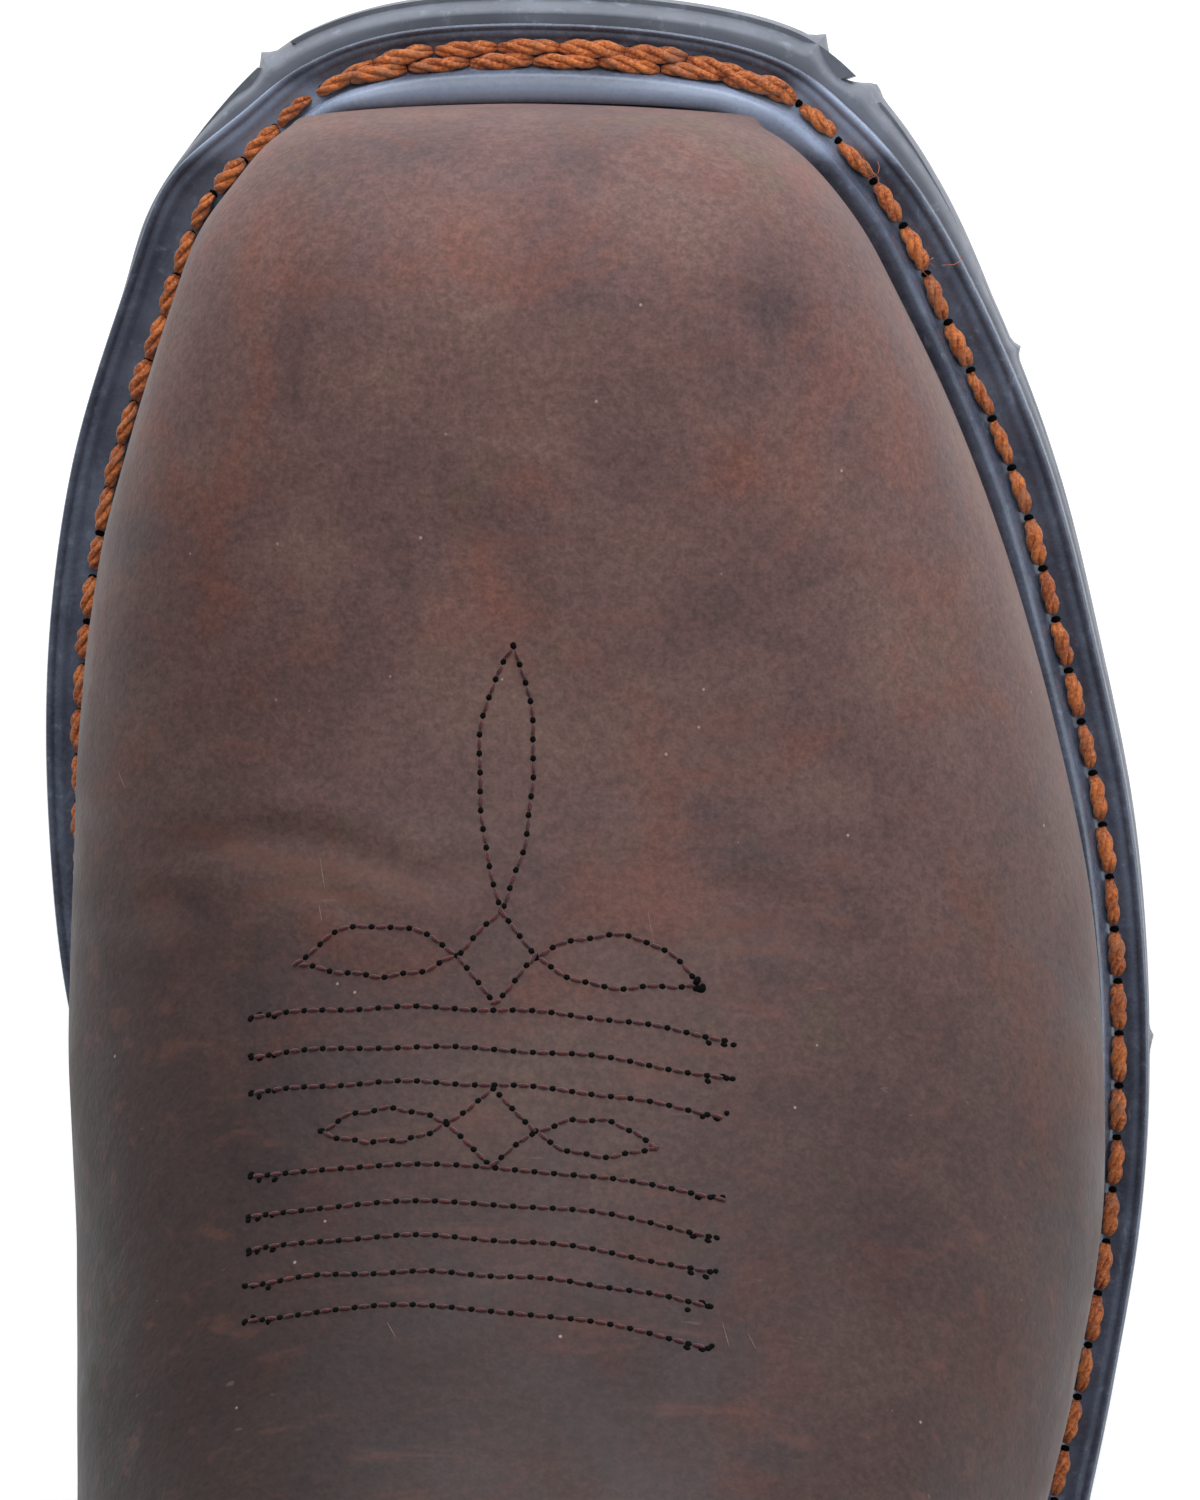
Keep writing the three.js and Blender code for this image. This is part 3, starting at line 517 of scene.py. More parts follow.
# Oiled leather, mottled and worn; the upper's leather also carries painted light and shade along and
# across the boot
leatherLook = {
    "dark": (76, 57, 57), "brown": (97, 71, 67), "light": (113, 87, 78), "red": (113, 68, 56),
    "olive": (95, 76, 60), "grey": (130, 114, 108), "rubbed": (98, 62, 51), "rough": 0.54,
    # painted light and shade: brightness along the boot, rising from throat to toe, and across it, rising
    # from the inner to the outer side;
    # the rear, with height taken off, is even
    "along": (0.13, 0.24, 0.38, 1.10), "slant": 0.45, "across": (0.0, 0.085, 0.36, 1.0),
    "rear": (-0.03, 0.085), "rise": 0.6, "rearGain": 1.9,
}


# sizes of the leather's marks, in millimetres
marks = {
    "swirl": 26, "patches": 11, "grain": 0.9, "dust": 0.35, "ruddy": 17, "mossy": 13, "specks": 5,
    "streaks": 3.2, "scuffs": 1.1, "pores": 0.75,
}


def makeLeather(name, look):
    paint = Paint(name, {"Specular IOR Level": 0.27, "Sheen Weight": 0.03, "Sheen Roughness": 0.5})
    swirl = paint.clouds(marks["swirl"], 3, 0.6, twist=0.6)
    patches = paint.clouds(marks["patches"], 5, 0.62, twist=0.3)
    grain = paint.clouds(marks["grain"], 3, 0.7)
    dust = paint.clouds(marks["dust"], 2, 0.6)
    tone = swirl * 0.55 + patches * 0.45
    stops = [(0.34, colour(*look["dark"])), (0.7, colour(*look["light"])), (0.5, colour(*look["brown"]))]
    base = paint.node("ShaderNodeValToRGB", {"stops": stops}, {"Fac": tone})
    ruddy = paint.spread(paint.clouds(marks["ruddy"], 4, 0.6, twist=0.8), 0.48, 0.7, 0, 0.6)
    base = paint.blend(ruddy, base, colour(*look["red"]))
    mossWhere = paint.where(turn=(0.4, 0.9, 1.7))
    mossy = paint.spread(paint.clouds(marks["mossy"], 4, 0.65, mossWhere, 0.5), 0.56, 0.7, 0, 0.45)
    base = paint.blend(mossy, base, colour(*look["olive"]))
    fine = paint.spread(grain, 0.3, 0.7, 0.8, 1.2) * paint.spread(dust, 0.3, 0.7, 0.88, 1.12)
    # painted light and shade: darker towards the throat and the inner side, lighter at the toe; gain and
    # level bring the rear back up
    if "along" in look:
        place = paint.node("ShaderNodeSeparateXYZ", {}, {0: paint.where()})
        onward = Wire(paint, place.socket.node.outputs[1])
        upward = Wire(paint, place.socket.node.outputs[2])
        rear = onward - upward * look["rise"]
        gain = paint.spread(rear, *look["rear"], look["rearGain"], 1)
        fine = fine * paint.spread(onward, *look["along"]) * gain
        level = paint.spread(rear, *look["rear"], 0.1, 0)
        fine = fine * paint.spread(onward * look["slant"] + place + level, *look["across"])
    tint = paint.node("ShaderNodeCombineColor", {}, {0: fine, 1: fine, 2: fine})
    base = paint.blend(1.0, base, tint, "MULTIPLY")
    speck = paint.spread(paint.cells(marks["specks"]), 0.018, 0.042, 0.62, 0)
    base = paint.blend(speck, base, colour(176, 160, 140))
    streakWhere = paint.where((0.16, 1, 1))
    streaks = paint.spread(paint.clouds(marks["streaks"], 3, 0.6, streakWhere, 0.4), 0.55, 0.72, 0, 0.22)
    base = paint.blend(streaks, base, colour(*look["red"]))
    if "rubbed" in look:
        lines = paint.node("ShaderNodeAttribute", {"attribute_name": "rubbed"}, {}, "Fac")
        base = paint.blend(lines * paint.spread(patches, 0.2, 0.6, 0.6, 1), base, colour(*look["rubbed"]))
    scuffWhere = paint.where((0.12, 1, 1), (0, 0, 0.35))
    scuff = paint.spread(paint.clouds(marks["scuffs"], 2, 0.5, scuffWhere), 0.74, 0.8, 0, 0.2)
    base = paint.blend(scuff, base, colour(*look["grey"]))
    height = paint.spread(paint.cells(marks["pores"]), 0, 0.7) * 0.5 + grain * 0.9
    coarse = paint.bump(patches, 0.25, 1.2)
    normal = paint.bump(height, 0.25, 0.14, coarse)
    rough = paint.spread(patches, 0.3, 0.7, look["rough"] - 0.06, look["rough"] + 0.1) + dust * 0.08
    return paint.feed(**{"Base Color": base, "Roughness": rough, "Normal": normal})


# Moulded rubber with scuffs; the greys below are set lighter than the black rubber itself, as a painted
# sheen
rubberLook = {"dark": (98, 101, 110), "pale": (156, 161, 172), "rough": 0.46}
weltLook = {
    "dark": (70, 76, 91), "pale": (156, 168, 192), "rough": 0.24,
    # painted highlight across the toe's rib: where it starts, is full, fades and ends, and how far
    "toe": (0.2545, 0.2575, 0.2625, 0.2645), "toeHighlight": 0.62,
}


def makeRubber(name, look, scuffSize=2.2, speck=0.5):
    paint = Paint(name, {"Specular IOR Level": 0.5})
    cloud = paint.clouds(9, 4, 0.6)
    fine = paint.clouds(scuffSize, 5, 0.72)
    # pale stretched streaks: partly scratches, partly painted highlight streaks along the rib; worn holds
    # them with the scuffs
    scratchAndHighlight = paint.clouds(1.4, 3, 0.6, paint.where((1, 0.18, 1), (0, 0, 0.5)))
    worn = paint.spread(fine, 0.55, 0.74, 0, speck) + paint.spread(scratchAndHighlight, 0.66, 0.76, 0, 0.35)
    dark, pale = colour(*look["dark"]), colour(*look["pale"])
    base = paint.blend(paint.spread(cloud, 0.35, 0.7, 0, 0.18), dark, pale)
    base = paint.blend(worn, base, pale)
    # a paler band across the toe: painted highlight on the toe's rib
    if "toe" in look:
        place = paint.node("ShaderNodeSeparateXYZ", {}, {0: paint.where()}, 1)
        start, full, fading, end = look["toe"]
        rubbed = paint.spread(place, start, full) * paint.spread(place, fading, end, 1, 0)
        base = paint.blend(rubbed * look["toeHighlight"], base, pale)
    rough = paint.spread(fine, 0.3, 0.7, look["rough"] - 0.08, look["rough"] + 0.16)
    normal = paint.bump(fine * 0.6 + scratchAndHighlight * 0.4, 0.3, 0.2)
    return paint.feed(**{"Base Color": base, "Roughness": rough, "Normal": normal})


def makeYarn(name, dark, light, rough=0.7, dull=None):
    paint = Paint(name, {"Specular IOR Level": 0.3, "Sheen Weight": 0.25})
    fibre = paint.clouds(0.35, 4, 0.7)
    mixed = paint.clouds(4, 3, 0.6)
    base = paint.blend(paint.spread(fibre * 0.7 + mixed * 0.3, 0.36, 0.64), colour(*dark), colour(*light))
    if dull:
        dusty = paint.spread(paint.clouds(3.2, 3, 0.6), 0.52, 0.68, 0, 0.5)
        base = paint.blend(dusty, base, colour(*dull))
    level = paint.spread(mixed, 0.3, 0.7, rough - 0.08, rough + 0.1)
    return paint.feed(**{"Base Color": base, "Roughness": level, "Normal": paint.bump(fibre, 0.7, 0.16)})


def makeWebbing(name):
    paint = Paint(name, {"Specular IOR Level": 0.3, "Sheen Weight": 0.2})
    cloth = paint.node("ShaderNodeTexCoord", {}, {}, "UV")
    parts = paint.node("ShaderNodeSeparateXYZ", {}, {0: cloth}, 0)
    along = Wire(paint, parts.socket.node.outputs[1])
    ribs = paint.node("ShaderNodeMath", {"operation": "SINE"}, {0: parts * (2 * math.pi * 14)})
    picks = paint.node("ShaderNodeMath", {"operation": "SINE"}, {0: along * (2 * math.pi * 110)})
    weave = ribs * picks * 0.5 + 0.5
    fibre = paint.clouds(0.5, 3, 0.7)
    base = paint.blend(weave * 0.6 + fibre * 0.3, colour(50, 37, 28), colour(96, 74, 55))
    rough = paint.spread(fibre, 0.3, 0.7, 0.75, 0.92)
    normal = paint.bump(weave + fibre * 0.4, 0.6, 0.3)
    return paint.feed(**{"Base Color": base, "Roughness": rough, "Normal": normal})


upperLeather = makeLeather("upper_leather", leatherLook)
trimLook = {"dark": (38, 29, 27), "brown": (58, 43, 36), "light": (78, 58, 48), "red": (66, 42, 34),
            "olive": (58, 48, 38), "grey": (90, 80, 74), "rough": 0.5}
trimLeather = makeLeather("trim_leather", trimLook)
liningLook = {"dark": (120, 92, 62), "brown": (146, 113, 78), "light": (168, 134, 96),
              "red": (138, 98, 64), "olive": (140, 116, 80), "grey": (176, 150, 118), "rough": 0.7}
liningLeather = makeLeather("lining_leather", liningLook)
soleRubber = makeRubber("outsole_rubber", rubberLook)
weltRubber = makeRubber("welt_rubber", weltLook, 1.3, 0.35)
orangeYarn = makeYarn("orange_yarn", (126, 50, 20), (220, 128, 64), dull=(142, 100, 78))
maroonThread = makeYarn("maroon_thread", (46, 15, 18), (92, 34, 34), 0.6)
# black discs in the needle holes: painted shade of the holes
holeShade = Paint("needle_hole", {"Base Color": (0.002, 0.002, 0.002, 1), "Roughness": 0.9,
                                  "Specular IOR Level": 0.1}).material
webbing = makeWebbing("strap_webbing")
print("materials made")


# Upper: one shell from the toe to the collar, lined
upperGrid = {
    # half a section's points, gap between sections, strip below the feet, rows of the toe's front
    "half": 56, "gap": 3.2, "drops": (5.5, 3, 1), "wallRows": 6, "round": 6, "keepTo": 23,
    # how the toe draws in: from where, over what length, towards what point and by how much
    "tuckFrom": 235, "tuckOver": 15, "tuckMiddle": (225, 40), "tuck": (0.05, 0.06, 0.03),
}


def makeUpper():
    places = sectionPlaces(0, len(rowNumbers) - 1, upperGrid["gap"])
    table = np.array([sectionLine(p, upperGrid["half"], upperGrid["drops"]) for p in places])
    keep = int(np.searchsorted(places, upperGrid["keepTo"]))
    body = endColumns(table, places, keep, lambda line: collarHeight(line[:, 1]) - line[:, 2], places)
    wall = toeWall(body[0], upperGrid["wallRows"], len(upperGrid["drops"]))
    points = bowToe(np.vstack([np.array(wall), body]))
    weight = np.zeros(points.shape[:2])
    weight[1:upperGrid["wallRows"] + 8] = 1
    return soften(points, weight, upperGrid["round"])


upperPoints = makeUpper()
shellOut = outwards(upperPoints)
# the toe of the shell stands well inside the vamp
tucked = np.clip((upperPoints[..., 1] - upperGrid["tuckFrom"]) / upperGrid["tuckOver"], 0, 1)[..., None]
smaller = (upperPoints - (toeBow["middle"], *upperGrid["tuckMiddle"])) * upperGrid["tuck"]
shellBm = gridMesh(upperPoints - (shellOut + smaller) * tucked)
weld(shellBm)
faceOut(shellBm, (0, 40, 120))
shellTree = treeOf(shellBm)
standBm = gridMesh(upperPoints + shellOut * overlayStand)
standTree = treeOf(standBm)
standBm.free()
upper = place("upper_shell", shellBm, [upperLeather, liningLeather], "upper_leather", ["upper"])
wall = upper.modifiers.new("wall", "SOLIDIFY")
wall.thickness = last["upperWall"] * mm
wall.offset = -1
wall.use_even_offset = False
wall.material_offset = 1
wall.material_offset_rim = 0

# Vamp: a sheet over the forefoot, from the feather line to its edge at the throat
vamp = {
    "half": 145, "gap": 0.85, "drops": (5, 3.8, 2.6, 1.3), "wallRows": 18, "wall": 1.6, "round": 18,
    "keepTo": 11, "endAt": 15.6, "searchTo": 18, "sunk": 0.1,
    # size and height of the leather's unevenness, and the lips beside a crease: height and place
    "uneven": ((21, 0.22), (9, 0.07)), "lip": 0.35, "lipPlace": 1.9,
    # side view edge: along the sole, and up as a share of the way from heel seat to throat
    "edge": [(0.290, -0.40), (0.300, 0.0), (0.325, 0.09), (0.357, 0.22), (0.386, 0.40), (0.405, 0.57),
             (0.414, 0.71), (0.419, 0.83), (0.424, 0.94), (0.436, 1.03), (0.480, 1.06)],
    # soft creases by places in the photo, with half width and depth in millimetres; minus is a ridge
    "creases": [
        ([(150, 852), (220, 846), (290, 838), (370, 862), (430, 880), (490, 872)], 1.9, 0.5),
        ([(230, 905), (300, 885), (360, 905), (420, 925)], 1.6, 0.3),
        ([(215, 880), (260, 868), (310, 866), (350, 882)], 1.2, 0.2),
        ([(80, 905), (130, 915), (180, 905), (225, 918)], 2.0, 0.32),
        ([(680, 905), (740, 892), (800, 905), (870, 900)], 1.9, 0.3),
        ([(690, 945), (760, 930), (830, 945), (900, 935)], 1.7, 0.28),
        ([(600, 700), (680, 730), (760, 700), (830, 735)], 5, -0.12),
        ([(560, 880), (600, 868), (650, 882), (700, 872)], 2.2, 0.14),
        ([(330, 1420), (450, 1400), (600, 1415), (720, 1400)], 6, 0.25),
    ],
    # lines that bending has drawn lighter and redder in the leather, with half width and strength
    "rubbed": [
        ([(150, 838), (196, 831), (260, 856), (310, 867), (381, 874), (417, 892), (463, 906), (500, 906)],
         1.0, 0.6),
        ([(253, 890), (310, 892), (356, 897), (395, 896)], 0.6, 0.85),
        ([(430, 873), (460, 871), (492, 874)], 0.6, 0.55),
        ([(120, 880), (160, 915), (175, 950)], 2.4, 0.22),
        ([(685, 941), (708, 934), (726, 927), (752, 921), (795, 921)], 0.55, 0.75),
        ([(720, 952), (747, 950), (776, 947), (805, 940)], 0.5, 0.6),
        ([(900, 952), (930, 944), (963, 938)], 0.5, 0.5),
        ([(762, 846), (790, 844), (813, 847)], 0.5, 0.5),
    ],
}
vampEdge = smoothPath([(soleStep(a), heelSeat + u * (throatZ - heelSeat)) for a, u in vamp["edge"]])


def aheadOfEdge(line):
    edgeY = np.interp(line[:, 2], vampEdge[:, 1], vampEdge[:, 0])
    over = np.maximum(line[:, 2] - vampEdge[-1, 1], 0)
    return line[:, 1] - edgeY - 40 * over


def makeVamp():
    places = sectionPlaces(0, vamp["searchTo"], vamp["gap"])
    table = np.array([sectionLine(p, vamp["half"], vamp["drops"]) for p in places])
    keep = int(np.searchsorted(places, vamp["keepTo"]))
    fractions = places[places <= vamp["endAt"]]
    body = endColumns(table, places, keep, aheadOfEdge, fractions)
    front = toeWall(body[0], vamp["wallRows"], len(vamp["drops"]))
    points = bowToe(np.vstack([np.array(front), body]))
    weight = np.zeros(points.shape[:2])
    weight[1:vamp["wallRows"] + 26] = 1
    weight[vamp["wallRows"] + 26:, 6:-6] = 0.3
    return soften(points, weight, vamp["round"])


# How far points are from a line of places in the photo, and a factor that fades towards its ends
def nearLine(points, places, tree):
    hits = [tree.ray_cast(eye, sightLine(*each))[0] for each in places]
    path = evenly(smoothPath([np.array(hit) / mm for hit in hits if hit]), 60)
    near = np.full(points.shape[:2], 1e9)
    which = np.zeros(points.shape[:2])
    for i, spot in enumerate(path):
        far = np.linalg.norm(points - spot, axis=2)
        which = np.where(far < near, i / 59, which)
        near = np.minimum(near, far)
    return near, np.sin(math.pi * np.clip(which, 0.02, 0.98)) ** 0.7


def creaseDepth(points, tree):
    depth = np.zeros(points.shape[:2])
    for places, wide, deep in vamp["creases"]:
        near, fade = nearLine(points, places, tree)
        lip = vamp["lip"] * np.exp(-(((near - vamp["lipPlace"] * wide) / wide) ** 2))
        depth += deep * fade * (np.exp(-((near / wide) ** 2)) - lip)
    return depth


def rubbedShare(points, tree):
    share = np.zeros(points.shape[:2])
    for places, wide, strength in vamp["rubbed"]:
        near, fade = nearLine(points, places, tree)
        share = np.maximum(share, strength * fade * np.exp(-((near / wide) ** 2)))
    return share


vampBase = makeVamp()
vampOut = outwards(vampBase)
roughBm = gridMesh((vampBase + vampOut * overlayStand)[::4, ::4])
roughTree = treeOf(roughBm)
roughBm.free()
uneven = np.array([[sum(noise.noise(Vector(p) / size) * height for size, height in vamp["uneven"])
                    for p in row] for row in vampBase])
sink = creaseDepth(vampBase + vampOut * overlayStand, roughTree)
vampTop = vampBase + vampOut * (overlayStand - sink + uneven - vamp["sunk"])[..., None]
rim = [vampTop[-1] - vampOut[-1] * step for step in (0.25, 0.9, vamp["wall"])]
rim[0] = rim[0] + (vampTop[-1] - vampTop[-2]) * 0.3
rubbed = rubbedShare(vampBase + vampOut * overlayStand, roughTree)
vampBm = gridMesh(np.vstack([vampTop, np.array(rim)]), np.vstack([rubbed] + [rubbed[-1:]] * len(rim)))
weld(vampBm)
faceOut(vampBm)
vampTree = treeOf(vampBm)
place("vamp_leather", vampBm, upperLeather, "upper_leather", ["vamp"])
print("upper and vamp made")


# Where a line of sight meets the vamp, and which way the leather faces there
def onVamp(across, down):
    spot, normal, *_ = vampTree.ray_cast(eye, sightLine(across, down))
    return (spot, normal) if spot else None


# Storm welt: a double bead at its edge, a channel with the stitches and a rib against the upper
welt = {
    "clear": 0.2, "channel": 3.1, "least": 5.0, "lowAt": 4.2, "highAt": 6.4,
    "ribClear": 0.85, "ribTop": 0.76,
    "toe": (0.962, 0.984), "toeInset": 0.3, "toeClear": 0.15, "toeBeads": 0.35,
    # along the sole, and how far in from the welt's edge the stitches run on the inner and outer side
    "line": [(0, 2.0, 2.0), (0.2, 2.0, 2.1), (0.35, 2.7, 2.7), (0.45, 3.1, 3.6), (0.49, 3.1, 3.9),
             (0.53, 3.1, 3.5), (0.6, 3.1, 3.4), (0.66, 3.2, 3.25), (0.72, 3.6, 3.35), (0.78, 4.2, 3.75),
             (0.83, 4.6, 4.0), (0.87, 5.1, 4.35), (0.9, 5.2, 4.5), (0.93, 5.4, 4.0), (0.95, 4.9, 3.95),
             (0.967, 4.3, 3.8), (0.985, 4.1, 4.0), (1, 4.05, 4.05)],
    # from the outer edge to the channel: inwards and up from the welt's bottom corner
    "beads": [(0, 0), (-0.1, 0.5), (-0.05, 1.7), (0.15, 1.95), (0.15, 2.2), (-0.02, 2.45), (0, 3.1),
              (0.08, 3.6), (0.25, 3.94), (0.5, 4.0), (0.75, 3.9), (0.9, 3.64), (1.02, 3.5), (1.2, 3.5),
              (1.45, 3.6), (1.75, 3.58), (2.05, 3.44), (2.3, 3.26), (2.6, 3.14)],
    # the rib from foot to leather: share across, how far back, height at the sides and at the toe
    "rib": [(0.35, 0.95, 0.3, 0.3), (0.75, 0.95, 0.74, 0.7), (1, 0.9, 0.95, 0.84), (1, 0.72, 1.0, 0.93),
            (1, 0.45, 0.9, 1.0), (1, 0.2, 0.74, 0.99), (1, 0, 0.66, 0.9)],
}


def smoothRing(values, rounds):
    for _ in range(rounds):
        values = (np.roll(values, 1) + values * 2 + np.roll(values, -1)) / 4
    return values


# How far in from the welt's edge the overlays stand, at a height above the top of the sole
def upperReach(height):
    reach = []
    for spot, out, width in zip(ring, ringOut, weltWidths):
        z = float(soleLift(spot[1])) + topOfSole + height
        start = Vector((*(spot + out * 5), z)) * mm
        hit = standTree.ray_cast(start, Vector((-out[0], -out[1], 0)), 0.03)
        reach.append(hit[3] / mm - 5 if hit[0] else width)
    return smoothRing(np.array(reach), 10)


# How far in from the welt's edge the stitches run
def stitchInset():
    table = np.array(welt["line"])
    inner = np.interp(ringAlong, table[:, 0], table[:, 1])
    outer = np.interp(ringAlong, table[:, 0], table[:, 2])
    half = ringCount // 2
    share = np.clip((np.arange(ringCount) - half) / 45 * 0.5 + 0.5, 0, 1)
    share[ringCount - 90:] = np.linspace(1, 0.5, 90)
    return smoothRing(inner * (1 - share) + outer * share, 6)


def makeWelt():
    low, high = (upperReach(welt[key]) - welt["clear"] for key in ("lowAt", "highAt"))
    low = np.maximum(np.minimum(low, weltWidths), welt["least"] * 0.9)
    high = np.maximum(np.minimum(high, weltWidths + 0.3), welt["least"] * 0.82)
    low, high = (np.where(weltWidths < 6, np.minimum(each, weltWidths), each) for each in (low, high))
    top = sole["weltThickness"] + sole["ribHeight"]
    rows = []
    atToe = np.clip((ringAlong - welt["toe"][0]) / (welt["toe"][1] - welt["toe"][0]), 0, 1)
    atToe = smoothRing(atToe, 12)
    narrow = np.minimum(1, weltWidths / 6.2) * (1 - welt["toeBeads"] * atToe)
    inset = welt["toeInset"] * flares
    for d, h in welt["beads"]:
        rows.append((d * narrow + inset, np.full(ringCount, float(h))))
    foot = np.minimum(stitchInset() + welt["ribClear"] + welt["toeClear"] * atToe, low - 2.2)
    foot = np.maximum(foot, 2.7 * narrow + inset)
    wide = (high - foot) * welt["ribTop"]
    rows.append((foot * 0.5 + 1.35, np.full(ringCount, welt["channel"] - 0.06)))
    rows.append((foot, np.full(ringCount, welt["channel"])))
    for share, back, h, toeH in welt["rib"]:
        across = foot + (high - wide * back - foot) * share if share < 1 else high - wide * back
        rows.append((across, welt["channel"] + (top - welt["channel"]) * (h + (toeH - h) * atToe)))
    rows.append((low, np.full(ringCount, 3.2)))
    rows.append((low, np.zeros(ringCount)))
    grid = []
    for across, up in rows + rows[:1]:
        flat = offsetRing(-across)
        grid.append(np.column_stack([flat, soleLift(flat[:, 1]) + topOfSole + up]))
    points = np.array(grid)
    return np.concatenate([points, points[:, :1]], axis=1)


weltBm = gridMesh(makeWelt())
weld(weltBm)
bmesh.ops.recalc_face_normals(weltBm, faces=weltBm.faces[:])
place("welt_strip", weltBm, weltRubber, "welt_rubber", ["welt"])


# Small shapes repeated along a line
def copies(shape, matrices, into=None):
    bm = into or bmesh.new()
    for matrix in matrices:
        start = len(bm.verts)
        bm.from_mesh(shape)
        bm.verts.ensure_lookup_table()
        bmesh.ops.transform(bm, matrix=matrix, verts=bm.verts[start:])
    return bm


# A frame at a point: X along the line, Z away from the surface
def standAt(spot, along, away, stretch=(1, 1, 1)):
    along = Vector(along).normalized()
    away = Vector(away).normalized()
    side = away.cross(along).normalized()
    up = along.cross(side)
    turned = Matrix((along, side, up)).transposed().to_4x4()
    return Matrix.Translation(spot) @ turned @ Matrix.Diagonal((*stretch, 1))


# Welt stitches: short lengths of three-strand yarn that dip into their holes
yarn = {
    "length": 5.0, "strand": 0.5, "twist": 0.4, "turns": 0.8, "rise": 0.66, "dip": 1.1, "kinds": 6,
    "pitchOuter": 5.72, "pitchInner": 4.95, "toePitch": 6.7, "toeMiddle": -9.8, "toeHalf": 24,
    "toeFrom": 258, "toeFade": 11, "hole": (0.42, 0.62, 0.07), "holeBehind": 2.75,
    # the two rows across the toe: how far out, where the first stitch is, and how high
    "toeRows": ((-0.72, 1.2, 0.2), (0.72, 4.6, 0.7)),
}


def yarnShape(seed):
    pick = random.Random(seed)
    bm = bmesh.new()
    slim = pick.uniform(0.9, 1.1)
    pinch = pick.uniform(0, 0.14)
    turn = pick.uniform(0, 2 * math.pi)
    for strand in range(3):
        rings = []
        for i in range(9):
            share = i / 8
            swell = math.sin(math.pi * min(max(share, 0.04), 0.96)) ** 0.34
            swell *= 1 - pinch * math.exp(-(((share - 0.5) / 0.14) ** 2))
            angle = turn + strand * 2 * math.pi / 3 + share * yarn["turns"] * 2 * math.pi
            x = (share - 0.5) * yarn["length"]
            y = math.cos(angle) * yarn["twist"] * swell * slim * 1.2
            z = math.sin(angle) * yarn["twist"] * swell * 0.8 + yarn["rise"]
            z -= yarn["dip"] * (abs(share - 0.5) * 2) ** 6
            made = bmesh.ops.create_circle(bm, segments=6, radius=yarn["strand"] * swell * slim * mm)
            spin = Matrix.Translation(Vector((x, y, z)) * mm) @ Matrix.Rotation(math.pi / 2, 4, "Y")
            bmesh.ops.transform(bm, matrix=spin, verts=made["verts"])
            edges = set(edge for vert in made["verts"] for edge in vert.link_edges)
            if rings:
                bmesh.ops.bridge_loops(bm, edges=list(rings[-1] | edges))
            rings.append(edges)
    bmesh.ops.recalc_face_normals(bm, faces=bm.faces[:])
    mesh = bpy.data.meshes.new("yarn")
    bm.to_mesh(mesh)
    bm.free()
    return mesh


# The welt from a start to an end station as a line of points, set in along the ring's own outward
# direction
def weltLine(extra, stations):
    flat = offsetRing(-stitchInset() - extra)
    line = np.column_stack([flat, soleLift(flat[:, 1]) + topOfSole + welt["channel"]])
    return line[stations]


def alongLine(line, pitch, start=0.0):
    gone = np.r_[0, np.cumsum(np.linalg.norm(np.diff(line, axis=0), axis=1))]
    place = start
    spots = []
    while place < gone[-1]:
        spot, before, after = (np.array([np.interp(at, gone, column) for column in line.T])
                               for at in (place, place - 0.6, place + 0.6))
        spots.append((spot, after - before))
        place += pitch(spots[-1][0]) if callable(pitch) else pitch
    return spots


def sidePitch(spot):
    return yarn["pitchOuter"] if spot[0] > -10 else yarn["pitchInner"]


def makeStitches():
    shapes = [yarnShape(seed) for seed in range(yarn["kinds"])]
    whole = np.arange(ringCount + 1) % ringCount
    offMiddle = np.abs(ring[:, 0] - yarn["toeMiddle"])
    toeSpan = np.flatnonzero((ring[:, 1] > yarn["toeFrom"]) & (offMiddle < yarn["toeHalf"]))
    spots = []
    for spot, run in alongLine(weltLine(0, whole), sidePitch):
        if spot[1] < 250 or abs(spot[0] - yarn["toeMiddle"]) > yarn["toeHalf"]:
            spots.append((spot, run, 0, 1.0))
    centred = np.clip((yarn["toeHalf"] - offMiddle) / yarn["toeFade"], 0, 1) ** 0.7
    for extra, start, lift in yarn["toeRows"]:
        spots += [(spot, run, lift, yarn["toePitch"] / yarn["length"]) for spot, run in
                  alongLine(weltLine(extra * centred, toeSpan), yarn["toePitch"], start)]
    bm = bmesh.new()
    holes = []
    for i, (spot, run, lift, long) in enumerate(spots):
        run = Vector(run).normalized()
        wobble = Vector((luck.uniform(-1, 1), luck.uniform(-1, 1), 0)) * 0.06
        short = luck.uniform(0.72, 1.0) if spot[0] < -10 and spot[1] < 255 and luck.random() < 0.35 else 1
        stretch = (long * short * luck.uniform(0.95, 1.06), luck.uniform(0.88, 1.15),
                   luck.uniform(0.9, 1.1))
        up = Vector((luck.uniform(-0.12, 0.12), luck.uniform(-0.12, 0.12), 1))
        centre = Vector(spot) * mm + Vector((0, 0, lift * mm))
        copies(shapes[i % len(shapes)], [standAt(centre, run + wobble, up, stretch)], bm)
        holes.append((centre - run * yarn["holeBehind"] * mm, run))
    return bm, holes


stitchBm, stitchHoles = makeStitches()


# Loose fibres that stand off the yarn, near places in the photo
fibres = {
    "count": 40, "radius": 0.055, "step": 0.65, "steps": 5, "height": 4.6,
    "places": [(312, 96), (322, 84), (335, 80), (300, 104), (345, 78), (318, 100), (870, 165),
               (935, 270), (608, 52), (560, 44), (690, 62), (432, 60)],
}


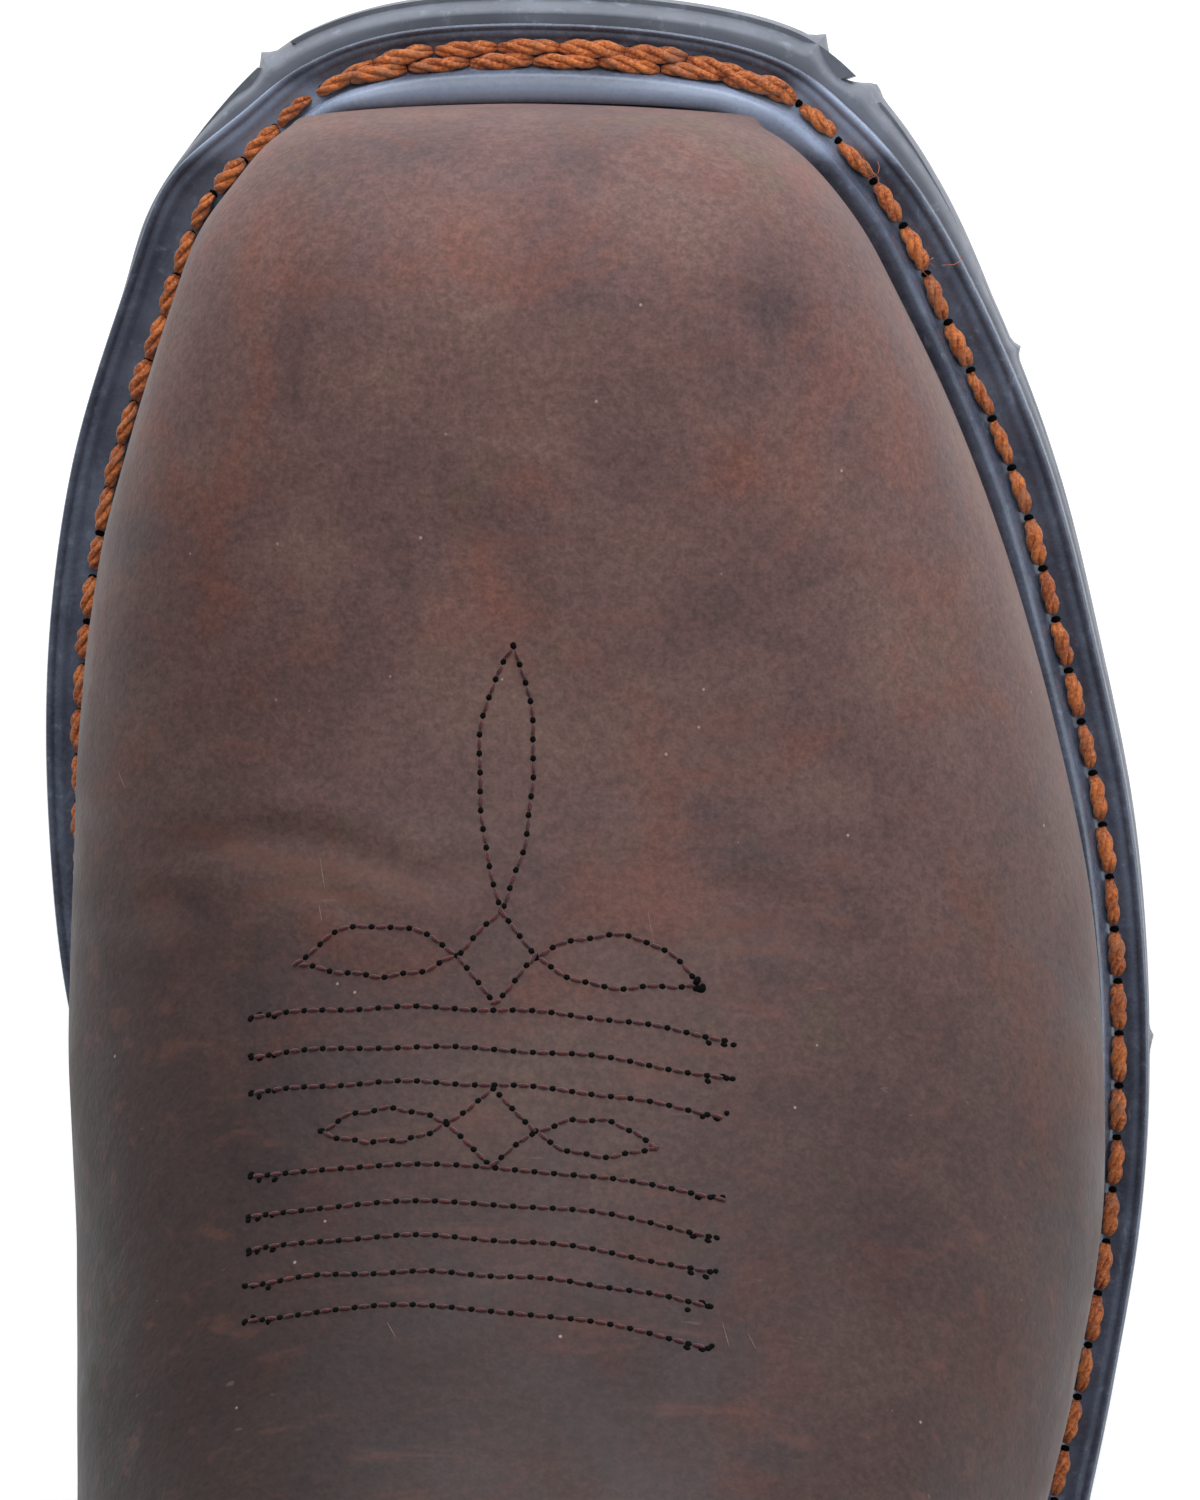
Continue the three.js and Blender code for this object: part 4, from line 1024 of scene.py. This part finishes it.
def makeFibres(bm):
    for i in range(fibres["count"]):
        across, down = fibres["places"][i % len(fibres["places"])]
        sight = sightLine(across + luck.uniform(-9, 9), down + luck.uniform(-7, 7))
        z = (soleLift(250.0) + topOfSole + fibres["height"] + luck.uniform(0, 1.0)) * mm
        spot = eye + sight * ((z - eye.z) / sight.z)
        heading = luck.uniform(0, 2 * math.pi)
        path = [spot]
        for _ in range(fibres["steps"]):
            heading += luck.uniform(-0.9, 0.9)
            step = Vector((math.cos(heading), math.sin(heading), luck.uniform(-0.25, 0.25)))
            path.append(path[-1] + step * fibres["step"] * mm)
        rings = []
        for here, there in zip(path, path[1:]):
            made = bmesh.ops.create_circle(bm, segments=3, radius=fibres["radius"] * mm)
            matrix = standAt(here, there - here, Vector((0, 0, 1))) @ Matrix.Rotation(math.pi / 2, 4, "Y")
            bmesh.ops.transform(bm, matrix=matrix, verts=made["verts"])
            edges = set(edge for vert in made["verts"] for edge in vert.link_edges)
            if rings:
                bmesh.ops.bridge_loops(bm, edges=list(rings[-1] | edges))
            rings.append(edges)


makeFibres(stitchBm)
place("welt_stitches", stitchBm, orangeYarn, "welt_rubber")

# the welt's needle holes are small black discs: painted shade of the holes
holeShape = bpy.data.meshes.new("hole")
holeBm = bmesh.new()
bmesh.ops.create_icosphere(holeBm, subdivisions=1, radius=1)
holeBm.to_mesh(holeShape)
holeBm.free()
holesBm = copies(holeShape, [standAt(spot, run, (0, 0, 1), Vector(yarn["hole"]) * mm)
                             for spot, run in stitchHoles])
place("needle_holes", holesBm, holeShade, "welt_rubber")
print("welt stitched")


# Outsole: a grooved plate with the lugs under the forefoot
outsole = {
    "across": 26, "lugTaper": 1.2, "lugClimb": 0.62, "lugLength": 19, "channel": 4, "slotWidth": 3.4,
    "slotLean": 14, "slots": 6, "toeLug": 16, "heelTaper": 2.5, "breastLean": 5,
    "heelSlots": (-0.52, 0.4), "heelSlotDepth": 3.5, "sharpAngle": 40,
    # up and out from the plate's bottom corner, as shares of its thickness and in millimetres
    "edge": [(0, -0.5), (0.03, -0.15), (0.08, 0), (0.36, 0), (0.42, -0.12), (0.46, -0.75), (0.5, -0.9),
             (0.54, -0.75), (0.58, -0.12), (0.64, 0), (0.93, 0), (0.98, -0.15), (1.0, -0.4)],
    # the heel's side: up as a share of its height, taper, and out in millimetres
    "heelEdge": [(0, -1, -0.5), (0.015, -0.985, 0), (0.25, -0.75, 0), (0.275, -0.72, -0.6),
                 (0.3, -0.7, -0.9), (0.325, -0.68, -0.6), (0.35, -0.65, 0), (0.69, -0.31, 0),
                 (0.715, -0.28, -0.6), (0.74, -0.26, -0.9), (0.765, -0.24, -0.6), (0.79, -0.21, 0),
                 (1, 0, 0)],
    # torn flash and nicks of the sole's edge: place in the photo, half width and how far out
    "nicks": [(259, 52, 0.7, 1.0), (250, 82, 1.5, -0.7), (825, 36, 0.7, 1.2),
              (846, 72, 2.2, -1.7), (874, 90, 1.0, 0.7), (1020, 350, 0.6, 0.7), (1147, 1050, 0.6, 0.5)],
}


# Out-and-in changes of the edge where the rubber is torn, by places in the photo
def nickDepth():
    out = np.zeros(ringCount)
    for across, down, wide, deep in outsole["nicks"]:
        x = (across - 600) * photo["mmPerPixel"] + photo["target"][0]
        y = (750 - down) * photo["mmPerPixel"] + photo["target"][1]
        far = np.hypot(ring[:, 0] - x, ring[:, 1] - y)
        far = np.abs(np.arange(ringCount) - int(np.argmin(far))) * (np.linalg.norm(ring[1] - ring[0]))
        out += deep * np.exp(-((far / wide) ** 2))
    return out


# A plate between rings: bottom first, each an outline in plan with its heights
def ringPlate(rings):
    points = np.array(rings)
    points = np.concatenate([points, points[:, :1]], axis=1)
    bm = gridMesh(points)
    half = ringCount // 2
    for level in (rings[0], rings[-1]):
        inner, outer = level[:half + 1], np.vstack([level[half:], level[:1]])[::-1]
        shares = np.linspace(0, 1, outsole["across"])[None, :, None]
        cap = inner[:, None] + (outer - inner)[:, None] * shares
        if np.ptp(level[:, 2]) > 0.01:
            cap[:, 1:-1, 2] = soleLift(cap[:, 1:-1, 1]) + (level[0, 2] - float(soleLift(level[0, 1])))
        side = gridMesh(cap)
        mesh = bpy.data.meshes.new("cap")
        side.to_mesh(mesh)
        side.free()
        bm.from_mesh(mesh)
    weld(bm, 2e-6)
    bmesh.ops.recalc_face_normals(bm, faces=bm.faces[:])
    return bm


def liftedRing(distance, height):
    flat = offsetRing(distance)
    return np.column_stack([flat, soleLift(flat[:, 1]) + height])


def levelRing(distance, height):
    flat = offsetRing(distance)
    return np.column_stack([flat, np.full(ringCount, float(height))])


# Takes cutters away from a mesh
def carve(bm, cutters):
    objects = []
    for i, each in enumerate([bm] + cutters):
        mesh = bpy.data.meshes.new("work")
        each.to_mesh(mesh)
        each.free()
        objects.append(bpy.data.objects.new(f"work{i}", mesh))
        bpy.context.scene.collection.objects.link(objects[-1])
    for cutter in objects[1:]:
        cut = objects[0].modifiers.new("cut", "BOOLEAN")
        cut.operation = "DIFFERENCE"
        cut.solver = "EXACT"
        cut.object = cutter
    shaped = bmesh.new()
    shaped.from_object(objects[0], bpy.context.evaluated_depsgraph_get())
    for each in objects:
        bpy.data.objects.remove(each)
    return shaped


def slotBox(y, width, low, high, turn):
    bm = bmesh.new()
    bmesh.ops.create_cube(bm, size=1)
    bmesh.ops.scale(bm, vec=Vector((200, width, high - low)) * mm, verts=bm.verts)
    bmesh.ops.translate(bm, vec=Vector((100, 0, (high + low) / 2)) * mm, verts=bm.verts)
    bmesh.ops.rotate(bm, cent=(0, 0, 0), matrix=Matrix.Rotation(turn, 3, "Z"), verts=bm.verts)
    bmesh.ops.translate(bm, vec=Vector((0, y, 0)) * mm, verts=bm.verts)
    return bm


def boxBetween(low, high):
    bm = bmesh.new()
    bmesh.ops.create_cube(bm, size=1)
    low, high = Vector(low) * mm, Vector(high) * mm
    bmesh.ops.scale(bm, vec=high - low, verts=bm.verts)
    bmesh.ops.translate(bm, vec=(high + low) / 2, verts=bm.verts)
    return bm


def makeOutsole():
    nicks = nickDepth()
    plain = 1 - np.clip(flares / 1.2, 0, 1)  # the groove fades out where the sole flares
    plate = ringPlate([liftedRing(flares * (1 - 0.75 * up ** 1.6) + nicks * (0.3 + 0.7 * (1 - up))
                                  + out * (plain if 0.4 < up < 0.6 else 1), up * sole["thickness"])
                       for up, out in outsole["edge"]])
    lugs = ringPlate([
        liftedRing(flares - outsole["lugTaper"] - 0.9, -sole["treadHeight"]),
        liftedRing(flares - outsole["lugTaper"] - 0.5, -sole["treadHeight"] + 0.35),
        liftedRing(flares - 0.5, -0.6),
        liftedRing(flares - 0.5, outsole["lugClimb"] * sole["thickness"]),
    ])
    lean = math.radians(outsole["slotLean"])
    places = np.linspace(treadStartY + outsole["slotWidth"] * 2, toeY - outsole["toeLug"],
                         outsole["slots"] + 1)
    cutters = [slotBox(y, outsole["slotWidth"], -20, 60, turn)
               for y in places for turn in (lean, math.pi - lean)]
    cutters.append(boxBetween((-200, -100, -20), (200, treadStartY, 120)))
    inside = outsole["lugLength"] + outsole["channel"] / 2
    outer = [liftedRing(flares - inside + outsole["channel"] / 2, h) for h in (-9, 3.7)]
    inner = [liftedRing(flares - inside - outsole["channel"] / 2, h) for h in (3.7, -9)]
    points = np.array(outer + inner + outer[:1])
    trench = gridMesh(np.concatenate([points, points[:, :1]], axis=1))
    weld(trench)
    bmesh.ops.recalc_face_normals(trench, faces=trench.faces[:])
    cutters.append(trench)
    tread = carve(lugs, cutters)
    mesh = bpy.data.meshes.new("tread")
    tread.to_mesh(mesh)
    tread.free()
    plate.from_mesh(mesh)
    return plate


def makeHeel():
    tall = sole["heelHeight"] - sole["fitGap"]
    block = ringPlate([levelRing(sole["plateSet"] * flares + out + taper * outsole["heelTaper"], up * tall)
                       for up, taper, out in outsole["heelEdge"]])
    lean = Vector((0, sole["heelHeight"], -outsole["breastLean"])).normalized()
    corner = Vector((0, breastY - outsole["breastLean"], 0)) * mm
    whole = block.verts[:] + block.edges[:] + block.faces[:]
    cut = bmesh.ops.bisect_plane(block, geom=whole, plane_co=corner, plane_no=lean, clear_outer=True)
    edges = [each for each in cut["geom_cut"] if isinstance(each, bmesh.types.BMEdge)]
    bmesh.ops.contextual_create(block, geom=edges)
    bmesh.ops.recalc_face_normals(block, faces=block.faces[:])
    turn = math.radians(outsole["slotLean"])
    cutters = [slotBox(share * sole["behindOrigin"], outsole["slotWidth"], -20,
                       outsole["heelSlotDepth"], angle)
               for share in outsole["heelSlots"] for angle in (turn, math.pi - turn)]
    return carve(block, cutters)


for name, bm, node in (("outsole_tread", makeOutsole(), "outsole"), ("heel_block", makeHeel(), "heel")):
    piece = place(name, bm, soleRubber, "outsole_rubber", [node])
    piece.data.set_sharp_from_angle(angle=math.radians(outsole["sharpAngle"]))
print("sole made")


# Counter: the overlay round the heel, laid on the shell along rays from a post in the heel
counter = {
    "post": 8, "turn": 142, "columns": 130, "rows": 60, "wall": 1.6, "below": 4,
    "edge": [(0.284, -0.80), (0.284, -0.1), (0.275, 0.10), (0.250, 0.36), (0.205, 0.62), (0.145, 0.84),
             (0.082, 1.01), (0.030, 1.10), (-0.060, 1.13)],
}
counterEdge = smoothPath([(soleStep(a), heelSeat + u * last["ankleHeight"])
                          for a, u in counter["edge"]])[::-1]


# The shell's surface along a level ray from a post at some place on the centre line
def aroundPost(postY, angle, z):
    aim = Vector((math.sin(angle), -math.cos(angle), 0))
    spot = shellTree.ray_cast(Vector((0, postY, z)) * mm, aim)[0]
    return None if spot is None else np.array(spot) / mm


def makeCounter():
    base = np.zeros((counter["rows"], counter["columns"], 3))
    turn = math.radians(counter["turn"])
    for column, angle in enumerate(np.linspace(-turn, turn, counter["columns"])):
        top = heelSeat + last["ankleHeight"]
        for _ in range(12):
            spot = aroundPost(counter["post"], angle, top)
            y = spot[1] if spot is not None else 49
            wanted = float(np.interp(y, counterEdge[:, 0], counterEdge[:, 1]))
            top = top * 0.5 + max(wanted, heelSeat - counter["below"] + 0.5) * 0.5
        for row, share in enumerate(np.linspace(0, 1, counter["rows"])):
            z = heelSeat - counter["below"] + (top - heelSeat + counter["below"]) * share
            spot = aroundPost(counter["post"], angle, z)
            base[row, column] = spot if spot is not None else base[max(row - 1, 0), column]
    return base


def sheetOver(base, stand, wall):
    down, across = np.gradient(base, axis=0), np.gradient(base, axis=1)
    normals = np.cross(across, down)
    normals /= np.maximum(np.linalg.norm(normals, axis=2), 1e-9)[..., None]
    centre = np.array((0, 20, 0))
    if ((base - centre) * normals * (1, 1, 0)).sum() < 0:
        normals = -normals
    top = base + normals * stand
    edge = [top[-1] - normals[-1] * step for step in (0.25, 0.9, wall)]
    return np.vstack([top, np.array(edge)])


counterBm = gridMesh(sheetOver(makeCounter(), overlayStand, counter["wall"]))
faceOut(counterBm, (0, 20, 80))
counterTree = treeOf(counterBm)
place("counter_leather", counterBm, upperLeather, "upper_leather", ["counter"])


# A point on the side of the boot, over a place in the side view
def onSide(side, y, z, trees, stand=0.0):
    best = None
    for tree in trees:
        spot, normal, *_ = tree.ray_cast(Vector((side * 200, y, z)) * mm, Vector((-side, 0, 0)))
        if spot and (best is None or spot.x * side > best[0].x * side):
            best = (spot, normal if normal.x * side > 0 else -normal)
    if best is None:
        return None
    return best[0] + best[1] * stand * mm, best[1]


# Piping over the side seams
piping = {
    "width": 4, "wall": 1.3, "rows": 110, "columns": 11,
    "line": [(0.296, 0.045), (0.276, 0.17), (0.246, 0.34), (0.224, 0.56), (0.215, 0.80)],
}
seamLine = smoothPath([(soleStep(a), heelSeat + u * last["shaftHeight"]) for a, u in piping["line"]])


def makePiping(side):
    path = evenly(seamLine, piping["rows"] * 2)
    free = []
    for y, z in path:
        overVamp = y > np.interp(z, vampEdge[:, 1], vampEdge[:, 0]) and z < vampEdge[-1, 1]
        overCounter = z < np.interp(y, counterEdge[:, 0], counterEdge[:, 1])
        if not overVamp and not overCounter:
            free.append((y, z))
    path = evenly(free, piping["rows"])
    run = np.gradient(path, axis=0)
    run /= np.linalg.norm(run, axis=1)[:, None]
    grid = np.zeros((piping["rows"], piping["columns"], 3))
    for row, (spot, along) in enumerate(zip(path, run)):
        for column, angle in enumerate(np.linspace(0, math.pi, piping["columns"])):
            across = math.cos(angle) * piping["width"] / 2
            y, z = spot + np.array((-along[1], along[0])) * across
            found = onSide(side, y, z, [shellTree], 0.05 + (piping["wall"] + 0.2) * math.sin(angle) ** 0.6)
            grid[row, column] = np.array(found[0]) / mm
    return grid


for side, name in ((-1, "inner"), (1, "outer")):
    pipeBm = gridMesh(makePiping(side))
    faceOut(pipeBm, (0, 30, 160))
    place(f"piping_{name}_leather", pipeBm, trimLeather, "trim_leather", [f"piping_{name}"])

# Binding folded over the collar
binding = {"depth": 9, "wall": 1.1, "gap": 0.3, "columns": 200}


def makeBinding():
    stand = binding["gap"] + binding["wall"]
    wall = last["upperWall"]
    depth = binding["depth"]
    half = [(-depth, 0.1), (-depth, stand * 0.7), (-depth + 0.3, stand), (-depth * 0.6, stand + 0.1),
            (-2, stand), (0, stand), (stand * 0.55, stand * 0.75), (stand * 0.9, 0.2)]
    profile = half + [(stand, -wall / 2)] + [(up, -wall - out) for up, out in half[::-1]]
    grid = np.zeros((len(profile), binding["columns"] + 1, 3))
    middle = collarMiddle + 3
    for column, angle in enumerate(np.linspace(0, 2 * math.pi, binding["columns"] + 1)):
        edge = collarZ - 10
        for _ in range(14):
            spot = aroundPost(middle, angle, edge - 1.5)
            edge = edge * 0.4 + float(collarHeight(spot[1])) * 0.6 if spot is not None else edge - 2
        aim = np.array((math.sin(angle), -math.cos(angle), 0))
        low = aroundPost(middle, angle, edge - 3)
        lower = aroundPost(middle, angle, edge - depth - 1)
        slope = (low - lower) / (low[2] - lower[2])
        for row, (up, out) in enumerate(profile):
            grid[row, column] = low + slope * (up + 3) + aim * out
    return grid


bindBm = gridMesh(makeBinding())
weld(bindBm)
bmesh.ops.recalc_face_normals(bindBm, faces=bindBm.faces[:])
place("collar_binding", bindBm, trimLeather, "trim_leather", ["binding"])

# Pull straps: webbing sewn outside and inside the shaft, with a loop between
strap = {
    "width": 27, "wall": 2, "drop": 52, "rise": 24, "loop": 17,
    "columns": 15, "legRows": 24, "loopRows": 30,
}


def makeStrap(side):
    stand = binding["gap"] + binding["wall"] + 0.3 + strap["wall"] / 2
    apart = last["upperWall"] + 2 * stand
    legTop = collarZ + 1.4 + strap["wall"]
    grid = []
    for y in np.linspace(-0.5, 0.5, strap["columns"]) * (strap["width"] - 0.4) + collarMiddle:
        low, high = (np.array(onSide(side, y, z, [shellTree])[0]) / mm
                     for z in (collarZ - 40, collarZ - 14))
        slope = (high[0] - low[0]) / (high[2] - low[2])
        outside = []
        for z in np.linspace(collarZ - strap["drop"], legTop, strap["legRows"]):
            x = high[0] + slope * (z - high[2])
            if z < high[2]:
                x = onSide(side, y, z, [shellTree])[0].x / mm
            outside.append((x + side * stand, y, z))
        inside = [(x - side * apart, y, z) for x, y, z in outside][::-1]
        wide, tall = (strap["loop"] - strap["wall"]) / 2, (strap["rise"] - strap["wall"]) / 2
        middle = outside[-1][0] - side * apart / 2
        start = math.acos(min(apart / 2 / wide, 1))
        centre = legTop + tall * math.sin(start)
        loop = [(middle + side * wide * math.cos(a), y, centre + tall * math.sin(a))
                for a in np.linspace(-start, math.pi + start, strap["loopRows"])]
        grid.append(outside[:-1] + loop + inside[1:])
    return np.array(grid).transpose(1, 0, 2)


strapPoints = {}
for side, name in ((-1, "inner"), (1, "outer")):
    strapPoints[side] = makeStrap(side)
    strapBm = gridMesh(strapPoints[side])
    piece = place(f"pull_strap_{name}_webbing", strapBm, webbing, "strap_webbing", [f"pull_strap_{name}"])
    thick = piece.modifiers.new("thick", "SOLIDIFY")
    thick.thickness = strap["wall"] * 0.95 * mm
    thick.offset = 0
print("shaft dressed")

# Thread: small stitches laid on the leather
thread = {
    "pitch": 1.88, "length": 1.2, "thick": 0.44, "seamPitch": 2.7, "seamLength": 2.25, "seamThick": 0.62,
    "vampRows": (2, 4.4), "counterRows": (-2, -4.4), "shaftRows": (-4.2, 4.2),
    # sizes of the pinholes, the back-stitches and the knot, in millimetres
    "pinhole": (0.38, 0.34, 0.1), "backStitch": (0.42, 0.3, 0.1), "knot": (0.6, 0.4, 0.3),
}
threadShape = bpy.data.meshes.new("thread")
threadBm = bmesh.new()
bmesh.ops.create_uvsphere(threadBm, u_segments=6, v_segments=5, radius=0.5)
bmesh.ops.rotate(threadBm, matrix=Matrix.Rotation(math.pi / 2, 3, "Y"), verts=threadBm.verts)
threadBm.to_mesh(threadShape)
threadBm.free()

# The toe's stitched ornament: petals, diamonds and rows, by places in the photo
ornament = {
    "petals": [
        [(513, 645), (484, 710), (480, 790), (488, 860), (501, 911)],
        [(513, 645), (530, 700), (533, 770), (523, 850), (501, 911)],
        [(457, 955), (425, 934), (383, 926), (335, 933), (297, 964)],
        [(457, 955), (430, 968), (390, 976), (340, 972), (297, 964)],
        [(536, 957), (575, 940), (623, 936), (668, 952), (701, 986)],
        [(536, 957), (575, 980), (623, 988), (668, 986), (701, 986)],
        [(446, 1123), (418, 1112), (383, 1109), (348, 1116), (320, 1132)],
        [(446, 1123), (418, 1137), (383, 1141), (348, 1140), (320, 1132)],
        [(536, 1132), (565, 1122), (600, 1120), (630, 1130), (654, 1147)],
        [(536, 1132), (565, 1150), (600, 1156), (630, 1154), (654, 1147)],
    ],
    "diamonds": [
        [(501, 911), (457, 955), (494, 1003), (536, 957), (501, 911)],
        [(494, 1090), (446, 1123), (490, 1165), (536, 1132), (494, 1090)],
    ],
    "rows": [
        [(251, 1017), (340, 1009), (455, 1008), (600, 1018), (733, 1041)],
        [(251, 1057), (330, 1049), (421, 1047), (590, 1056), (732, 1080)],
        [(251, 1094), (330, 1085), (421, 1082), (590, 1093), (726, 1117)],
        [(251, 1178), (330, 1168), (421, 1165), (590, 1176), (722, 1199)],
        [(249, 1218), (330, 1206), (432, 1202), (590, 1212), (717, 1237)],
        [(249, 1251), (330, 1240), (425, 1236), (590, 1249), (715, 1274)],
        [(245, 1285), (330, 1275), (425, 1272), (590, 1284), (711, 1306)],
        [(245, 1321), (330, 1310), (425, 1306), (590, 1322), (711, 1348)],
    ],
    "knot": (701, 986),
}


def threadAlong(line, away, pitch, length, thick, sit=0.1):
    matrices = []
    for spot, run in alongLine(line, pitch, pitch / 2):
        near = int(np.argmin(np.linalg.norm(line - spot, axis=1)))
        up = Vector(away[near])
        stretch = np.array((length * luck.uniform(0.92, 1.04), thick, thick * 0.8)) * mm
        turned = Vector(run).normalized() + Vector((luck.uniform(-1, 1), luck.uniform(-1, 1), 0)) * 0.1
        matrices.append(standAt(Vector(spot) * mm + up * sit * mm, turned, up, stretch))
    return matrices


def makeOrnament():
    bm = bmesh.new()
    holes = []
    lines = [smoothPath(p) for p in ornament["petals"] + ornament["rows"]]
    lines += [np.array(p, float) for p in ornament["diamonds"]]
    for line in lines:
        spots = evenly(line, 80)
        sway = np.sin(np.linspace(0, luck.uniform(4, 9), 80) * math.pi + luck.uniform(0, 6)) * 1.3
        found = [onVamp(x + dx, y + dy) for (x, y), dx, dy in zip(spots, sway * 0.5, sway)]
        path = np.array([np.array(each[0]) / mm for each in found])
        away = [each[1] for each in found]
        matrices = threadAlong(path, away, thread["pitch"], thread["length"], thread["thick"])
        copies(threadShape, matrices, bm)
        for spot, run in alongLine(path, thread["pitch"]):
            up = away[int(np.argmin(np.linalg.norm(path - spot, axis=1)))]
            holes.append(standAt(Vector(spot) * mm, run, up, Vector(thread["pinhole"]) * mm))
    # back-stitches at the ends of the rows
    for row in ornament["rows"]:
        for across, down in (row[0], row[-1]):
            for step in (0, 9, 24):
                x = across + (step if across < 500 else -step)
                spot, up = onVamp(x, down + luck.uniform(-4, 4))
                size = Vector(thread["backStitch"]) * mm
                holes.append(standAt(spot, (1, luck.uniform(-1, 1), 0), up, size))
    spot, up = onVamp(*ornament["knot"])
    for _ in range(6):
        turn = Vector((luck.uniform(-0.5, 0.5), luck.uniform(-0.7, 0.7), 0.1)) * mm
        holes.append(standAt(spot + turn, (0.5, 1, 0), up, Vector(thread["knot"]) * mm))
    return bm, holes


ornamentBm, pinholes = makeOrnament()
# the pinholes are black discs: painted shade of the holes
place("toe_ornament_thread", ornamentBm, maroonThread, "upper_leather")
place("toe_ornament_pinholes", copies(holeShape, pinholes), holeShade, "upper_leather")

# Fine scratches, from place to place in the photo
scratches = {
    "stand": 0.03, "wide": 0.09, "high": 0.05,
    "places": [(648, 912, 655, 952), (320, 858, 325, 890), (319, 905, 322, 922), (387, 1322, 396, 1338),
               (722, 1322, 730, 1350), (748, 1334, 756, 1350), (118, 770, 126, 790)],
}


def makeScratches():
    matrices = []
    for startAcross, startDown, endAcross, endDown in scratches["places"]:
        start, end = onVamp(startAcross, startDown), onVamp(endAcross, endDown)
        run = end[0] - start[0]
        spot = (start[0] + end[0]) / 2 + start[1] * scratches["stand"] * mm
        size = (run.length, scratches["wide"] * mm, scratches["high"] * mm)
        matrices.append(standAt(spot, run, start[1], size))
    return copies(threadShape, matrices)


scratchPaint = makeYarn("pale_scratch", (98, 76, 68), (122, 98, 88), 0.6)
place("leather_scratches", makeScratches(), scratchPaint, "upper_leather")


# Rows of stitches beside the seams and edges
def seamRow(bm, places, side, trees):
    found = [onSide(side, y, z, trees) for y, z in evenly(places, 160)]
    found = [each for each in found if each]
    if len(found) < 8:
        return
    path = np.array([np.array(each[0]) / mm for each in found])
    matrices = threadAlong(path, [each[1] for each in found], thread["seamPitch"], thread["seamLength"],
                           thread["seamThick"], 0.15)
    copies(threadShape, matrices, bm)


def beside(path, distance):
    run = np.gradient(np.asarray(path, float), axis=0)
    run /= np.linalg.norm(run, axis=1)[:, None]
    return np.asarray(path) + np.column_stack([run[:, 1], -run[:, 0]]) * distance


seamBm = bmesh.new()
for side in (-1, 1):
    low = vampEdge[(vampEdge[:, 1] > heelSeat + 4) & (vampEdge[:, 0] < soleStep(0.436))]
    for distance in thread["vampRows"]:
        seamRow(seamBm, beside(low, distance), side, [vampTree])
    back = counterEdge[::-1]
    back = back[(back[:, 1] > heelSeat + 4) & (back[:, 0] > -22)]
    for distance in thread["counterRows"]:
        seamRow(seamBm, beside(back, distance), side, [counterTree])
    shaft = seamLine[seamLine[:, 1] > heelSeat + 52]
    for distance in thread["shaftRows"]:
        seamRow(seamBm, beside(shaft, distance), side, [shellTree])
place("seam_thread", seamBm, maroonThread, "upper_leather")

# Insole stays as the CAD has it, in tan leather
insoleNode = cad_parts["insole"]
insoleNode.data.materials.clear()
insoleNode.data.materials.append(liningLeather)
print("thread laid")

# Floor, background and soft studio light
studio = {
    "floor": (0.5, 0.5, 0.5), "floorSize": 14, "glow": 0.76, "world": 0.18, "aim": (0, 0.15, 0.03),
    # place in metres, size in metres, watts, colour
    "lights": [
        ((-0.05, 0.7, 0.8), (0.8, 0.6), 4.0, (1, 0.99, 0.97)),
        ((0.0, 0.95, 0.3), (0.9, 0.35), 6.0, (0.84, 0.91, 1)),
        ((0.85, 0.1, 0.24), (0.35, 1.0), 4.3, (0.9, 0.95, 1)),
        ((-0.2, -0.5, 0.9), (0.8, 0.6), 0.8, (1, 1, 1)),
    ],
}
floorPaint = Paint("pale_floor", {"Base Color": (*studio["floor"], 1), "Roughness": 0.9,
                                  "Emission Color": (1, 1, 1, 1), "Emission Strength": studio["glow"]})
floorBm = bmesh.new()
bmesh.ops.create_grid(floorBm, x_segments=1, y_segments=1, size=studio["floorSize"])
floorMesh = bpy.data.meshes.new("floor")
floorBm.to_mesh(floorMesh)
floorBm.free()
floor = bpy.data.objects.new("floor", floorMesh)
floorMesh.materials.append(floorPaint.material)
bpy.context.scene.collection.objects.link(floor)

world = bpy.data.worlds.new("studio")
world.use_nodes = True
world.node_tree.nodes["Background"].inputs["Color"].default_value = (1, 1, 1, 1)
world.node_tree.nodes["Background"].inputs["Strength"].default_value = studio["world"]
bpy.context.scene.world = world
for i, (spot, size, power, tint) in enumerate(studio["lights"]):
    lamp = bpy.data.lights.new(f"softbox{i}", "AREA")
    lamp.shape = "RECTANGLE"
    lamp.size, lamp.size_y = size
    lamp.energy = power
    lamp.color = tint
    box = bpy.data.objects.new(f"softbox{i}", lamp)
    aim = Vector(spot) - Vector(studio["aim"])
    box.rotation_euler = aim.to_track_quat("Z", "Y").to_euler()
    box.location = spot
    bpy.context.scene.collection.objects.link(box)
bpy.context.scene.view_settings.view_transform = "Standard"

print("finishing")
